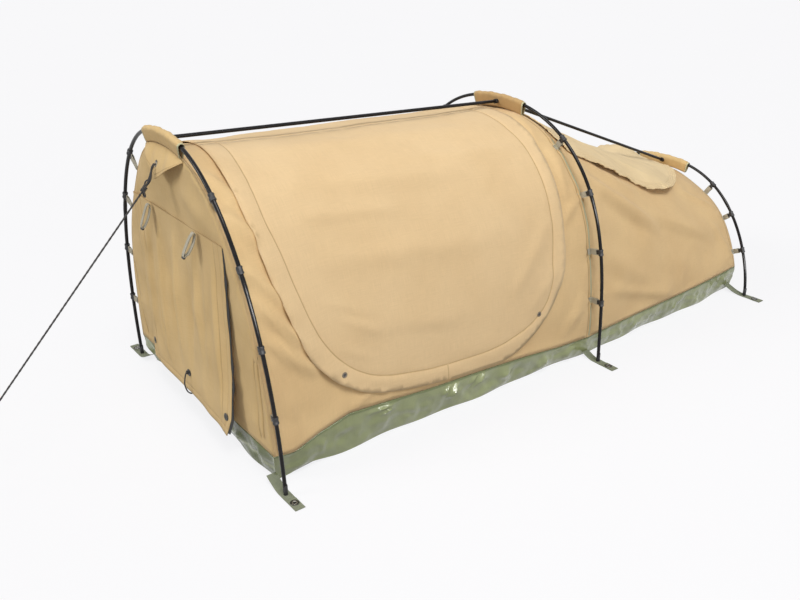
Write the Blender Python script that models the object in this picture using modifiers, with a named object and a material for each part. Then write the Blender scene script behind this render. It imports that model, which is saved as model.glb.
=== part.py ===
# Single-person dome swag: a canvas bedroll shelter on three hoops, pitched and closed.
# Metres, +Z up, +X towards the foot, the near side is -Y. The origin is on the ground,
# under the middle of the tub.

import math

import bmesh
import bpy
import numpy as np
from mathutils import Matrix, Vector

# Frame of poles
HOOP_SPAN = 2.100            # head hoop's feet to foot hoop's feet
MIDDLE_OFFSET = 1.214        # head hoop's feet to middle hoop's feet
POLE_RADIUS = 0.0055
POLE_PIN_RADIUS = 0.0030     # spigot that stands in the ground tab
PIN_LIFT = 0.0005            # spigot's end above the ground
SHOULDER_GAP = 0.0014        # pole's shoulder above its tab
HEAD_HALF_WIDTH = 0.492
HEAD_HEIGHT = 0.870
HEAD_BACK_TILT = -0.030      # how far the crown stands from the feet, along the swag
MIDDLE_HALF_WIDTH = 0.499
MIDDLE_HEIGHT = 0.822
MIDDLE_BACK_TILT = -0.043
FOOT_HALF_WIDTH = 0.486
FOOT_HEIGHT = 0.456
FOOT_BACK_TILT = 0.045
HEAD_POWER_SHARES = (2.31, 2.13)     # how square each hoop's side and crown are
MIDDLE_POWER_SHARES = (2.19, 3.44)
FOOT_POWER_SHARES = (2.45, 1.53)
RIDGE_DROP = 0.0145          # ridge pole's axis below the hoop's axis

# Canvas
CANVAS = 0.0030              # doubled canvas and its hems
SIDE_GAP = 0.045             # canvas inside the hoops at the sides
HEAD_CROWN_DROP = 0.032      # canvas below each hoop's axis at the ridge
MIDDLE_CROWN_DROP = 0.036
FOOT_CROWN_DROP = 0.032
HEAD_BAY_SAG = 0.003         # ridge line's sag between hoops
FOOT_BAY_SAG = 0.035
HEAD_BAY_DRAW = 0.012        # sides drawn in between hoops
FOOT_BAY_DRAW = 0.008
TOUCH = 0.0003               # gap between sewn or seated pieces

# Tub
TUB_WALL = 0.0030
TUB_DRAW_IN = 0.028          # floor's edge inside the seam
TUB_HEAD_IN = 0.020
TUB_FOOT_OUT = 0.030
SEAM_HEIGHT = 0.100          # the tub's seam, which rises and falls by the shares below
SEAM_GAP = 0.0016            # tub's rim below the canvas edge that it is sewn to

# Mattress
MATTRESS_THICKNESS = 0.060
MATTRESS_GAP = 0.022         # mattress to tub wall
MATTRESS_ROUNDING = 0.018

# Doors, window and roof vent
FLAP = 0.0030
FLAP_GAP = 0.0009            # flap to the canvas under it
DOOR_HINGE_HALF = 0.0755     # door flaps are sewn this far from the ridge
VENT_HINGE_HEAD = 0.0745     # the vent flaps' seam from the ridge, at the middle hoop
VENT_HINGE_FOOT = 0.0475     # and at the foot hoop
SCREEN = 0.0012
SCREEN_GAP = 0.0008          # screen's edge to the opening's edge
WINDOW_HALF_WIDTH = 0.240
WINDOW_SILL = 0.165
WINDOW_TOP = 0.600
WINDOW_CORNER = 0.050
WINDOW_FLAP_HALF_WIDTH = 0.290
WINDOW_FLAP_TOP = 0.640
WINDOW_FLAP_HEM = 0.092
WINDOW_FLAP_STAND_OUT = 0.034
WINDOW_FLAP_FOLD = 0.005     # depth of the flap's hanging folds
WINDOW_FOLDS = 5
VENT_FLAP_LIFT = 0.020       # how far the vent flap's free edge stands up
VENT_LOBES = 2.5             # waves along that edge

# Hood over the window
HOOD_HALF_WIDTH = 0.140
HOOD_TIP_OUT = 0.030         # tip in front of the head wall
HOOD_TIP_HEIGHT = 0.752
HOOD_HEM = 0.012
HOOD_CLOTH = 0.0020
HOOD_EYELET_CLEARANCE = 0.0007
HOOD_EYELET_RIM = 0.0100
EYELET_PROUD = 0.0010
HOOD_EYELET_FALL_SHARE = 0.56    # eyelet's place from the hood's seam to its tip

# Pole sleeves and crown fittings
SLEEVE_HALF_LENGTH = 0.120
SLEEVE_CLOTH = 0.0016
SLEEVE_HALF_WIDTH = 0.0125
SLEEVE_SEAM_HALF = 0.0030    # half the sleeve's width where it is sewn down
SLEEVE_STEPS = 5             # from an end to the crown
HUB_RING_RADIUS = 0.0084
HUB_BORE_CLEARANCE = 0.0010
HUB_HALF_LENGTH = 0.016
SOCKET_RADIUS = 0.0078
SOCKET_REACH = 0.022
SOCKET_START = 0.0060        # ridge pole's end from the hoop's axis
RIDGE_HOLE = 0.0092

# Webbing hook on the roof, for the foot ridge pole
HOOK_HEIGHT = 0.022
HOOK_REACH = 0.012
HOOK_BAR = 0.0035
HOOK_WIDTH = 0.014
HOOK_PLACE_SHARE = 0.085     # of the foot bay's length

# Pole clips
CLIP_RADIUS = 0.0090
CLIP_CLEARANCE = 0.0004
CLIP_MOUTH = 0.0080          # gap of the snap-on mouth
CLIP_ARM = 0.0045
CLIP_ARM_REACH = 0.016
CLIP_WIDTH = 0.018
WEB_THICKNESS = 0.0018

# Ground tabs
TAB_WIDTH = 0.030
TAB_THICKNESS = 0.0020
TAB_REACH = 0.075            # beyond the pole
TAB_GAP = 0.0005             # inner end to the tub's wall
TAB_PIN_CLEARANCE = 0.0005
TAB_EYELET_REACH = 0.045
TAB_EYELET_HOLE = 0.0050
TAB_EYELET_RIM = 0.0090
TAB_EYELET_PROUD = 0.0010

# Tie loops on the window flap
LOOP_LENGTH = 0.085
LOOP_WIDTH = 0.018
LOOP_DEPTH = 0.0120
LOOP_WEB = 0.0020
LOOP_PLACE = 0.150
LOOP_LEAN = math.radians(4)
LOOP_GAP = 0.0008            # loop to the flap that it hangs on

# Elastic loop round the window flap's hem
ELASTIC_RADIUS = 0.0016
ELASTIC_HALF_DEPTH = 0.0045
ELASTIC_BELOW = 0.0040       # loop's bottom below the hem

# Eyelets
FLAP_EYELET_HOLE = 0.0040
FLAP_EYELET_RIM = 0.0085
WINDOW_EYELET_UP = 0.066     # above the hem
WINDOW_EYELET_IN = 0.018     # from the side edge

# Guy rope
ROPE_RADIUS = 0.0025
ROPE_BEHIND = 0.0060         # rope's end behind the hood's eyelet
ROPE_FRONT = 0.0090          # straight length of rope in front of it
KNOT_OUT = 0.0365            # knot in front of the eyelet
KNOT_DOWN = 0.053
KNOT_RADIUS = 0.0075
KNOT_LENGTH = 0.018
PEG_OUT = 0.722              # where the taut rope's line meets the ground
ROPE_EASE = 0.060            # how far up the rope starts to bend to the ground
ROPE_LIE = 0.040             # rope lying on the ground
ROPE_LIFT = 0.0035           # its centre above the ground
END_LOOP_RADIUS = 0.024
ROPE_SPAN_STEPS = 6          # knot to the bend at the ground

OVERRUN = 0.020              # how far cutters run past what they cut
MERGE_REACH = 0.00001        # points closer than this are one point

# Seam height along each bay, as shares of SEAM_HEIGHT, from a hoop to the next
HEAD_SEAM_SHARES = ((0.0, 0.95), (0.05, 0.85), (0.12, 1.15), (0.2, 1.38), (0.3, 1.30),
                    (0.43, 1.18), (0.6, 1.10), (0.76, 0.98), (0.88, 0.84), (1.0, 0.78))
FOOT_SEAM_SHARES = ((0.0, 0.78), (0.1, 0.83), (0.3, 0.90), (0.5, 0.93), (1.0, 1.04))

# Outlines on the canvas: shares of the bay's length and of the girth from seam to seam
DOOR_SHARES = ((0.078, 0.50), (0.067, 0.42), (0.064, 0.35), (0.067, 0.27), (0.080, 0.213),
               (0.106, 0.140), (0.138, 0.096), (0.191, 0.052), (0.255, 0.027), (0.345, 0.014),
               (0.467, 0.007), (0.60, 0.005), (0.704, 0.013), (0.809, 0.056), (0.882, 0.125),
               (0.914, 0.213), (0.927, 0.30), (0.942, 0.39), (0.952, 0.50))
DOORWAY_SHARES = ((0.110, 0.41), (0.104, 0.33), (0.111, 0.283), (0.126, 0.208), (0.151, 0.145),
                  (0.196, 0.090), (0.251, 0.060), (0.315, 0.045), (0.397, 0.038), (0.487, 0.034),
                  (0.603, 0.034), (0.688, 0.042), (0.779, 0.064), (0.838, 0.105), (0.862, 0.171),
                  (0.879, 0.228), (0.889, 0.30), (0.895, 0.36), (0.892, 0.41))
VENT_FLAP_SHARES = ((0.032, 0.50), (0.032, 0.40), (0.060, 0.336), (0.16, 0.326), (0.27, 0.314),
                    (0.38, 0.300), (0.44, 0.285), (0.51, 0.277), (0.58, 0.277), (0.65, 0.286),
                    (0.73, 0.308), (0.80, 0.339), (0.865, 0.385), (0.905, 0.44), (0.92, 0.50))
# Eyelets near a door's free edge, and the vent's opening
DOOR_EYELET_SHARES = ((0.196, 0.068), (0.799, 0.075))
VENT_SHARES = ((0.12, 0.445), (0.12, 0.38), (0.20, 0.365), (0.40, 0.345), (0.55, 0.325),
               (0.68, 0.340), (0.77, 0.375), (0.80, 0.445))

# Pole clips, as shares of the hoop's half width from its middle plane, on both sides
HEAD_CLIP_SHARES = (0.545, 0.765, 0.905, 0.975)
MIDDLE_CLIP_SHARES = (0.595, 0.845, 0.962, 0.995)
FOOT_CLIP_SHARES = (0.512, 0.733, 0.897)

# Mesh steps
HEAD_BAY_STEPS = 12
FOOT_BAY_STEPS = 9
GIRTH_STEPS = 13             # from the seam to the ridge
HOOP_STEPS = 14              # from a foot to the crown
STRAIGHT_HALF = 0.012        # half of the straight length under a clip
STRAIGHT_CROWN = 0.020       # the same under the hub
TRACE = 240                  # points that trace a section before it is divided
STEP_SHARE = 0.01            # small step along the canvas, for its direction

HEAD_X = -HOOP_SPAN / 2
MIDDLE_X = HEAD_X + MIDDLE_OFFSET
FOOT_X = HOOP_SPAN / 2


class Hoop:
    """One arch of pole and the canvas section that hangs inside it."""

    def __init__(self, name, x, half_width, height, tilt, powers, crown_drop, clip_shares):
        self.name = name
        self.x = x
        self.half_width = half_width
        self.height = height
        self.lean = tilt / height
        self.powers = powers
        self.crown_drop = crown_drop
        self.clip_shares = clip_shares
        self.bends = self.bend_points()
        self.crown_height = float(self.bends[-1, 2])

    def half(self, inset=0.0, drop=0.0):
        """The near half, from foot to crown, as (x, y, z) rows."""
        turn = np.linspace(0.0, math.pi / 2, TRACE)
        across = np.clip(np.cos(turn), 0.0, 1.0) ** (2 / self.powers[0])
        up = np.clip(np.sin(turn), 0.0, 1.0) ** (2 / self.powers[1])
        y = -(self.half_width - inset) * across
        z = (self.height - drop) * up
        return np.stack([self.x + self.lean * z, y, z], axis=1)

    def canvas(self):
        return self.half(SIDE_GAP, self.crown_drop)

    def bend_points(self):
        """The near half's bends: even steps, but straight under each clip and the hub."""
        line = self.half()
        steps = np.linalg.norm(np.diff(line, axis=0), axis=1)
        length = np.concatenate([[0.0], np.cumsum(steps)])
        clips = [float(np.interp(-share * self.half_width, line[:, 1], length))
                 for share in self.clip_shares]
        reaches = [r for r in np.linspace(0.0, length[-1], HOOP_STEPS + 1)[:-1]
                   if all(abs(r - c) > 2 * STRAIGHT_HALF for c in clips)]
        reaches += [c + STRAIGHT_HALF * turn for c in clips for turn in (-1, 1)]
        reaches = [r for r in reaches if r < length[-1] - 2 * STRAIGHT_CROWN]
        reaches.append(length[-1] - STRAIGHT_CROWN)
        reaches.sort()
        return np.stack([np.interp(reaches, length, line[:, k]) for k in range(3)], axis=1)

    def crown(self, drop=0.0):
        z = self.crown_height - drop
        return Vector((self.x + self.lean * z, 0.0, z))

    def place(self, half_span):
        """The pole's point at -half_span, its direction, and the way to the canvas."""
        pole = np.vstack([self.bends, self.bends[-1] * np.array([1.0, -1.0, 1.0])])
        k = int(np.searchsorted(pole[:, 1], -half_span)) - 1
        k = min(max(k, 0), len(pole) - 2)
        share = (-half_span - pole[k, 1]) / (pole[k + 1, 1] - pole[k, 1])
        centre = pole[k] + share * (pole[k + 1] - pole[k])
        tangent = pole[k + 1] - pole[k]
        tangent /= np.linalg.norm(tangent)
        canvas = self.canvas()
        nearest = int(np.argmin(np.linalg.norm(canvas - centre, axis=1)))
        inward = canvas[nearest] - centre
        inward -= tangent * (inward @ tangent)
        return centre, tangent, inward


HEAD = Hoop("head", HEAD_X, HEAD_HALF_WIDTH, HEAD_HEIGHT, HEAD_BACK_TILT,
            HEAD_POWER_SHARES, HEAD_CROWN_DROP, HEAD_CLIP_SHARES)
MIDDLE = Hoop("middle", MIDDLE_X, MIDDLE_HALF_WIDTH, MIDDLE_HEIGHT, MIDDLE_BACK_TILT,
              MIDDLE_POWER_SHARES, MIDDLE_CROWN_DROP, MIDDLE_CLIP_SHARES)
FOOT = Hoop("foot", FOOT_X, FOOT_HALF_WIDTH, FOOT_HEIGHT, FOOT_BACK_TILT,
            FOOT_POWER_SHARES, FOOT_CROWN_DROP, FOOT_CLIP_SHARES)


class Bay:
    """The canvas between two hoops."""

    def __init__(self, start, end, sag, draw, seam_shares, steps):
        self.start = start
        self.end = end
        self.sag = sag
        self.draw = draw
        self.seam_shares = seam_shares
        self.steps = steps

    def seam(self, along):
        places, heights = zip(*self.seam_shares)
        return SEAM_HEIGHT * float(np.interp(along, places, heights))

    def section(self, along, girths):
        """Points at girths 0 (near seam) to 1 (far seam), where 0.5 is the ridge."""
        line = self.start.canvas() * (1 - along) + self.end.canvas() * along
        slack = 4 * along * (1 - along)
        turn = np.linspace(0.0, math.pi / 2, len(line))
        line[:, 2] -= slack * self.sag * np.sin(turn) ** 3
        line[:, 1] += slack * self.draw * np.cos(turn) * np.sin(2 * turn)
        steps = np.linalg.norm(np.diff(line, axis=0), axis=1)
        length = np.concatenate([[0.0], np.cumsum(steps)])
        seam_at = np.interp(self.seam(along), line[:, 2], length)
        girths = np.asarray(girths, dtype=float)
        half = np.where(girths <= 0.5, girths, 1 - girths) * 2
        reach = seam_at + half * (length[-1] - seam_at)
        points = np.stack([np.interp(reach, length, line[:, k]) for k in range(3)], axis=1)
        points[:, 1] *= np.where(girths <= 0.5, 1.0, -1.0)
        return points

    def sheet(self, alongs, girths, out=0.0):
        """A grid of points on the canvas, moved outwards by out."""
        grid = np.stack([self.section(a, girths) for a in alongs])
        if out:
            by_along = np.gradient(grid, axis=0)
            by_girth = np.gradient(grid, axis=1)
            normal = np.cross(by_along, by_girth)
            normal /= np.linalg.norm(normal, axis=2, keepdims=True)
            grid = grid + out * normal
        return grid

    def place(self, along, girth):
        return Vector(self.section(along, [girth])[0])


HEAD_BAY = Bay(HEAD, MIDDLE, HEAD_BAY_SAG, HEAD_BAY_DRAW, HEAD_SEAM_SHARES, HEAD_BAY_STEPS)
FOOT_BAY = Bay(MIDDLE, FOOT, FOOT_BAY_SAG, FOOT_BAY_DRAW, FOOT_SEAM_SHARES, FOOT_BAY_STEPS)

NEAR_GIRTHS = np.linspace(0.0, 0.5, GIRTH_STEPS + 1)
ALL_GIRTHS = np.concatenate([NEAR_GIRTHS, 1 - NEAR_GIRTHS[-2::-1]])
HINGE_GIRTH = NEAR_GIRTHS[-2]    # flaps are sewn one step below the ridge
SIDES = (("near", 1.0), ("far", -1.0))


def clear_scene():
    for old in list(bpy.data.objects):
        bpy.data.objects.remove(old, do_unlink=True)


def make_collection(name):
    group = bpy.data.collections.new(name)
    bpy.context.scene.collection.children.link(group)
    return group


def make_material(name, color, roughness, metallic=0.0, alpha=1.0):
    material = bpy.data.materials.new(name)
    material.use_nodes = True
    shader = material.node_tree.nodes["Principled BSDF"]
    shader.inputs["Base Color"].default_value = (*color, 1.0)
    shader.inputs["Roughness"].default_value = roughness
    shader.inputs["Metallic"].default_value = metallic
    shader.inputs["Alpha"].default_value = alpha
    material.diffuse_color = (*color, alpha)
    return material


clear_scene()
PARTS = make_collection("dome_swag")
CUTTERS = make_collection("dome_swag_cutters")

TAN = make_material("tan_canvas", (0.70, 0.52, 0.30), 0.85)
TAN_SHADE = make_material("tan_flap_canvas", (0.72, 0.55, 0.33), 0.85)
GREEN = make_material("green_pvc", (0.21, 0.26, 0.15), 0.45)
BLACK_TUBE = make_material("black_alloy_tube", (0.02, 0.02, 0.022), 0.35, 0.9)
BLACK_PLASTIC = make_material("black_moulded_plastic", (0.015, 0.015, 0.016), 0.5)
GREY_WEB = make_material("grey_webbing", (0.42, 0.41, 0.37), 0.8)
MESH = make_material("insect_mesh", (0.03, 0.03, 0.03), 0.8, 0.0, 0.5)
FOAM = make_material("mattress_cover", (0.36, 0.33, 0.26), 0.9)
ROPE = make_material("black_rope", (0.015, 0.014, 0.013), 0.75)


def add_object(name, data, material=None, group=PARTS, matrix=None):
    made = bpy.data.objects.new(name, data)
    group.objects.link(made)
    if matrix is not None:
        made.matrix_world = matrix
    if material is not None:
        data.materials.clear()
        data.materials.append(material)
    return made


def mesh_from(name, points, faces):
    """A hand-made sheet or loft, with its faces turned the same way."""
    mesh = bpy.data.meshes.new(name)
    mesh.from_pydata([tuple(p) for p in points], [], faces)
    mesh.validate()
    return mesh


def smooth(made, angle=math.radians(35)):
    made.data.shade_smooth()
    made.data.set_sharp_from_angle(angle=angle)


def thicken(made, thickness, offset):
    shell = made.modifiers.new("thickness", "SOLIDIFY")
    shell.thickness = thickness
    shell.offset = offset
    shell.use_even_offset = True
    shell.use_quality_normals = True
    return shell


def combine(made, other, operation):
    step = made.modifiers.new(operation.lower(), "BOOLEAN")
    step.operation = operation
    step.solver = "EXACT"
    step.object = other
    return step


def as_cutter(made):
    made.hide_render = True
    made.display_type = "WIRE"
    return made


def to_mesh_object(made, material, group):
    """Turns a curve object into a welded mesh object of the same name and place."""
    bpy.context.view_layer.update()
    graph = bpy.context.evaluated_depsgraph_get()
    mesh = bpy.data.meshes.new_from_object(made.evaluated_get(graph))
    matrix = made.matrix_world.copy()
    name = made.name
    bpy.data.objects.remove(made, do_unlink=True)
    work = bmesh.new()
    work.from_mesh(mesh)
    bmesh.ops.remove_doubles(work, verts=work.verts, dist=MERGE_REACH)
    bmesh.ops.recalc_face_normals(work, faces=work.faces)
    work.to_mesh(mesh)
    work.free()
    solid = add_object(name, mesh, material, group, matrix)
    solid.name = name
    return solid


def plate(name, outlines, half_depth, matrix, material=None, group=PARTS, as_mesh=False):
    """A filled flat outline, with holes if there is more than one, as thick as asked."""
    curve = bpy.data.curves.new(name, "CURVE")
    curve.dimensions = "2D"
    curve.fill_mode = "BOTH"
    curve.extrude = half_depth
    for outline in outlines:
        line = curve.splines.new("POLY")
        line.points.add(len(outline) - 1)
        for point, (x, y) in zip(line.points, outline):
            point.co = (x, y, 0.0, 1.0)
        line.use_cyclic_u = True
    made = add_object(name, curve, material, group, matrix)
    if as_mesh:
        return to_mesh_object(made, material, group)
    return made


def tube(name, points, radius, material, sides=2, radii=None, closed=False):
    """A round bar or cord along points, with filled ends or joined to a ring."""
    curve = bpy.data.curves.new(name, "CURVE")
    curve.dimensions = "3D"
    curve.bevel_depth = radius
    curve.bevel_resolution = sides
    curve.use_fill_caps = True
    line = curve.splines.new("POLY")
    line.points.add(len(points) - 1)
    for k, point in enumerate(points):
        line.points[k].co = (*point, 1.0)
        line.points[k].radius = 1.0 if radii is None else radii[k]
    line.use_smooth = True
    line.use_cyclic_u = closed
    return add_object(name, curve, material)


def cylinder(name, start, end, radius, material=None, group=CUTTERS, sides=16):
    """A straight round bar from start to end."""
    start, end = Vector(start), Vector(end)
    mesh = bpy.data.meshes.new(name)
    work = bmesh.new()
    bmesh.ops.create_cone(work, cap_ends=True, segments=sides, radius1=radius,
                          radius2=radius, depth=(end - start).length)
    work.to_mesh(mesh)
    work.free()
    turn = (end - start).to_track_quat("Z", "Y").to_matrix().to_4x4()
    made = add_object(name, mesh, material, group,
                      Matrix.Translation((start + end) / 2) @ turn)
    return as_cutter(made) if group is CUTTERS else made


def spline_through(points, steps):
    """A smooth open line through points, as Catmull and Rom's rule draws it."""
    rows = np.array(points, dtype=float)
    rows = np.vstack([2 * rows[0] - rows[1], rows, 2 * rows[-1] - rows[-2]])
    line = []
    for a, b, c, d in zip(rows[:-3], rows[1:-2], rows[2:-1], rows[3:]):
        for k in range(steps):
            t = k / steps
            line.append(0.5 * (2 * b + (c - a) * t + (2 * a - 5 * b + 4 * c - d) * t ** 2
                               + (3 * b - a - 3 * c + d) * t ** 3))
    line.append(rows[-2])
    return np.array(line)


def inset(outline, distance):
    """The closed outline moved inwards by distance, with its corners kept sharp."""
    rows = np.array(outline, dtype=float)
    after = np.roll(rows, -1, axis=0)
    area = np.sum(rows[:, 0] * after[:, 1] - after[:, 0] * rows[:, 1])
    edge = after - rows
    edge /= np.linalg.norm(edge, axis=1, keepdims=True)
    left = np.stack([-edge[:, 1], edge[:, 0]], axis=1) * math.copysign(1.0, area)
    before = np.roll(left, 1, axis=0)
    spread = 1 + np.sum(left * before, axis=1, keepdims=True)
    return [tuple(p) for p in rows + distance * (left + before) / np.maximum(spread, 0.3)]


def mirrored(made, side):
    """Puts the near-side shape on the far side when side is -1."""
    if side < 0:
        made.data.transform(Matrix.Scale(-1.0, 4, (0.0, 1.0, 0.0)))
        if isinstance(made.data, bpy.types.Mesh):
            made.data.flip_normals()
    return made


def grid_faces(rows, columns):
    return [(i * columns + j, (i + 1) * columns + j, (i + 1) * columns + j + 1,
             i * columns + j + 1)
            for i in range(rows - 1) for j in range(columns - 1)]


def sheet_object(name, grid, thickness, offset, material):
    """A grid of points as cloth of the given thickness."""
    rows, columns = grid.shape[:2]
    mesh = mesh_from(name, grid.reshape(-1, 3), grid_faces(rows, columns))
    made = add_object(name, mesh, material)
    thicken(made, thickness, offset)
    smooth(made)
    return made


def build_hoop(hoop):
    """A bent tube whose ends step down to the spigots that stand in the ground tabs."""
    near = hoop.bends.copy()
    shoulder = TAB_THICKNESS + SHOULDER_GAP
    near[0, 2] = shoulder
    arch = np.vstack([near, near[::-1] * np.array([1.0, -1.0, 1.0])])
    foot = near[0]
    spigot = np.array([[foot[0], foot[1], PIN_LIFT], [foot[0], foot[1], shoulder - PIN_LIFT / 2]])
    points = np.vstack([spigot, arch, spigot[::-1] * np.array([1.0, -1.0, 1.0])])
    pin_share = POLE_PIN_RADIUS / POLE_RADIUS
    radii = [pin_share] * 2 + [1.0] * len(arch) + [pin_share] * 2
    return tube(hoop.name + "_hoop", points, POLE_RADIUS, BLACK_TUBE, 2, radii)


def ridge_ends(start, end):
    """Where a ridge pole's ends sit, just past the hoops' axes."""
    first = start.crown(RIDGE_DROP)
    last = end.crown(RIDGE_DROP)
    along = (last - first).normalized()
    return first + along * SOCKET_START, last - along * SOCKET_START, along


def build_ridge_pole(name, start, end):
    first, last, _ = ridge_ends(start, end)
    pole = cylinder(name, first, last, POLE_RADIUS, BLACK_TUBE, PARTS, 12)
    smooth(pole)
    return pole


def build_hub(hoop, toward):
    """A moulded tee: a ring on the hoop's crown, and a socket for each ridge pole."""
    crown = hoop.crown()
    half = Vector((0.0, HUB_HALF_LENGTH, 0.0))
    hub = cylinder(hoop.name + "_hub", crown - half, crown + half, HUB_RING_RADIUS,
                   BLACK_PLASTIC, PARTS, 20)
    seat = hoop.crown(RIDGE_DROP)
    for k, (first, along) in enumerate(toward):
        part_name = hoop.name + "_socket_" + str(k)
        body = cylinder(part_name, seat, seat + along * SOCKET_REACH, SOCKET_RADIUS, sides=16)
        combine(hub, body, "UNION")
    bore = cylinder(hoop.name + "_hub_bore", crown - half * 2, crown + half * 2,
                    POLE_RADIUS + HUB_BORE_CLEARANCE, sides=20)
    combine(hub, bore, "DIFFERENCE")
    for k, (first, along) in enumerate(toward):
        hole = cylinder(hoop.name + "_socket_bore_" + str(k), first - along * TOUCH,
                        seat + along * (SOCKET_REACH + OVERRUN), POLE_RADIUS + TOUCH, sides=16)
        combine(hub, hole, "DIFFERENCE")
    smooth(hub)
    return hub


def build_sleeve(hoop, toward):
    """A canvas channel folded over the hoop's crown, with its legs sewn to the roof."""
    back = Vector((1.0, 0.0, hoop.lean)).normalized()
    uphill = max([along.z / abs(along.x) for _, along in toward] + [0.0])
    rows = []
    for k in range(SLEEVE_STEPS + 1):
        half_span = SLEEVE_HALF_LENGTH * (1 - k / SLEEVE_STEPS)
        centre, _, inward = hoop.place(half_span)
        centre, inward = Vector(centre.tolist()), Vector(inward.tolist())
        leg = inward.length - TOUCH - uphill * SLEEVE_SEAM_HALF
        inward.normalize()
        row = [centre - back * SLEEVE_SEAM_HALF + inward * leg]
        for step in range(9):
            turn = math.pi * step / 8
            row.append(centre - back * SLEEVE_HALF_WIDTH * math.cos(turn)
                       - inward * SLEEVE_HALF_WIDTH * math.sin(turn))
        row.append(centre + back * SLEEVE_SEAM_HALF + inward * leg)
        rows.append(row)
    rows += [[Vector((p.x, -p.y, p.z)) for p in row] for row in rows[-2::-1]]
    grid = np.array([[tuple(p) for p in row] for row in rows])
    sleeve = sheet_object(hoop.name + "_sleeve", grid, SLEEVE_CLOTH, 1.0, TAN)
    seat = hoop.crown(RIDGE_DROP)
    for k, (first, along) in enumerate(toward):
        hole = cylinder(hoop.name + "_ridge_hole_" + str(k), seat,
                        seat + along * (SOCKET_REACH + OVERRUN), RIDGE_HOLE, sides=20)
        combine(sleeve, hole, "DIFFERENCE")
    return sleeve


def add_eyelet(made, name, centre, out, thickness, hole_radius, rim_radius):
    """A pressed ring in the cloth, with its hole; centre is on the cloth's outer face."""
    rim = cylinder(name + "_rim", centre - out * thickness / 2, centre + out * EYELET_PROUD,
                   rim_radius, sides=16)
    combine(made, rim, "UNION")
    hole = cylinder(name + "_hole", centre - out * OVERRUN / 2, centre + out * OVERRUN / 2,
                    hole_radius, sides=16)
    combine(made, hole, "DIFFERENCE")


def side_outline(bay, shares, steps=3):
    """An outline on the near side, as seen from the side: (x, z) points."""
    line = spline_through(shares, steps)
    points = [bay.place(a, min(max(g, 0.0), 0.5)) for a, g in line]
    return [(p.x, p.z) for p in points]


def top_outline(bay, shares, steps=3):
    """An outline on the near side, as seen from above: (x, y) points."""
    line = spline_through(shares, steps)
    points = [bay.place(a, min(max(g, 0.0), 0.5)) for a, g in line]
    return [(p.x, p.y) for p in points]


def side_prism(name, outline, side, inner=0.0):
    """A cutter with a side outline, from inner to past the canvas on one side."""
    outer = MIDDLE_HALF_WIDTH + HEAD_HALF_WIDTH
    half = (outer - inner) / 2
    turn = Matrix.Rotation(math.pi / 2, 4, "X")
    middle = Matrix.Translation((0.0, -side * (inner + half), 0.0))
    return as_cutter(plate(name, [outline], half, middle @ turn, None, CUTTERS, True))


def top_prism(name, outline):
    """A cutter with a top outline, through the roof of the foot bay."""
    half = MIDDLE_HEIGHT
    middle = Matrix.Translation((0.0, 0.0, half + SEAM_HEIGHT * 2))
    return as_cutter(plate(name, [outline], half, middle, None, CUTTERS, True))


def doorway_outline():
    return side_outline(HEAD_BAY, DOORWAY_SHARES)


def vent_outline(side):
    return [(x, y * side) for x, y in top_outline(FOOT_BAY, VENT_SHARES)]


def window_outline(shrink=0.0):
    """The head window, as (y, z) points with round corners."""
    points = []
    half = WINDOW_HALF_WIDTH - shrink
    low, high = WINDOW_SILL + shrink, WINDOW_TOP - shrink
    corner = WINDOW_CORNER - shrink
    centres = ((half - corner, low + corner, -90), (half - corner, high - corner, 0),
               (corner - half, high - corner, 90), (corner - half, low + corner, 180))
    for y, z, first in centres:
        for step in range(5):
            turn = math.radians(first + 90 * step / 4)
            points.append((y + corner * math.cos(turn), z + corner * math.sin(turn)))
    return points


def head_wall_matrix(depth):
    """Places a (y, z) outline on the head wall, depth in front of its outer face."""
    down = Vector((HEAD.lean, 0.0, 1.0)).normalized()
    across = Vector((0.0, 1.0, 0.0))
    out = across.cross(down)
    turn = Matrix((across, down, out)).transposed().to_4x4()
    return Matrix.Translation(Vector((HEAD_X, 0.0, 0.0)) - out * depth) @ turn


def build_canvas():
    """The canvas shell: roof, sides, head wall and foot wall in one skin."""
    first = HEAD_BAY.sheet(np.linspace(0.0, 1.0, HEAD_BAY_STEPS + 1), ALL_GIRTHS)
    second = FOOT_BAY.sheet(np.linspace(0.0, 1.0, FOOT_BAY_STEPS + 1), ALL_GIRTHS)
    grid = np.concatenate([first, second[1:]])
    rows, columns = grid.shape[:2]
    faces = grid_faces(rows, columns)
    faces.append(tuple(range(columns)))
    faces.append(tuple(reversed(range((rows - 1) * columns, rows * columns))))
    mesh = mesh_from("canvas_body", grid.reshape(-1, 3), faces)
    canvas = add_object("canvas_body", mesh, TAN)
    work = bmesh.new()
    work.from_mesh(mesh)
    bmesh.ops.recalc_face_normals(work, faces=work.faces)
    work.to_mesh(mesh)
    work.free()
    if mesh.polygons[columns // 2].normal.z < 0:
        mesh.flip_normals()
    thicken(canvas, CANVAS, -1.0)
    for label, side in SIDES:
        cutter = side_prism(label + "_doorway_cut", doorway_outline(), side, SIDE_GAP)
        combine(canvas, cutter, "DIFFERENCE")
        vent = top_prism(label + "_vent_cut", vent_outline(side))
        combine(canvas, vent, "DIFFERENCE")
    window = as_cutter(plate("window_cut", [window_outline()], OVERRUN,
                             head_wall_matrix(0.0), None, CUTTERS, True))
    combine(canvas, window, "DIFFERENCE")
    smooth(canvas)
    return canvas


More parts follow.
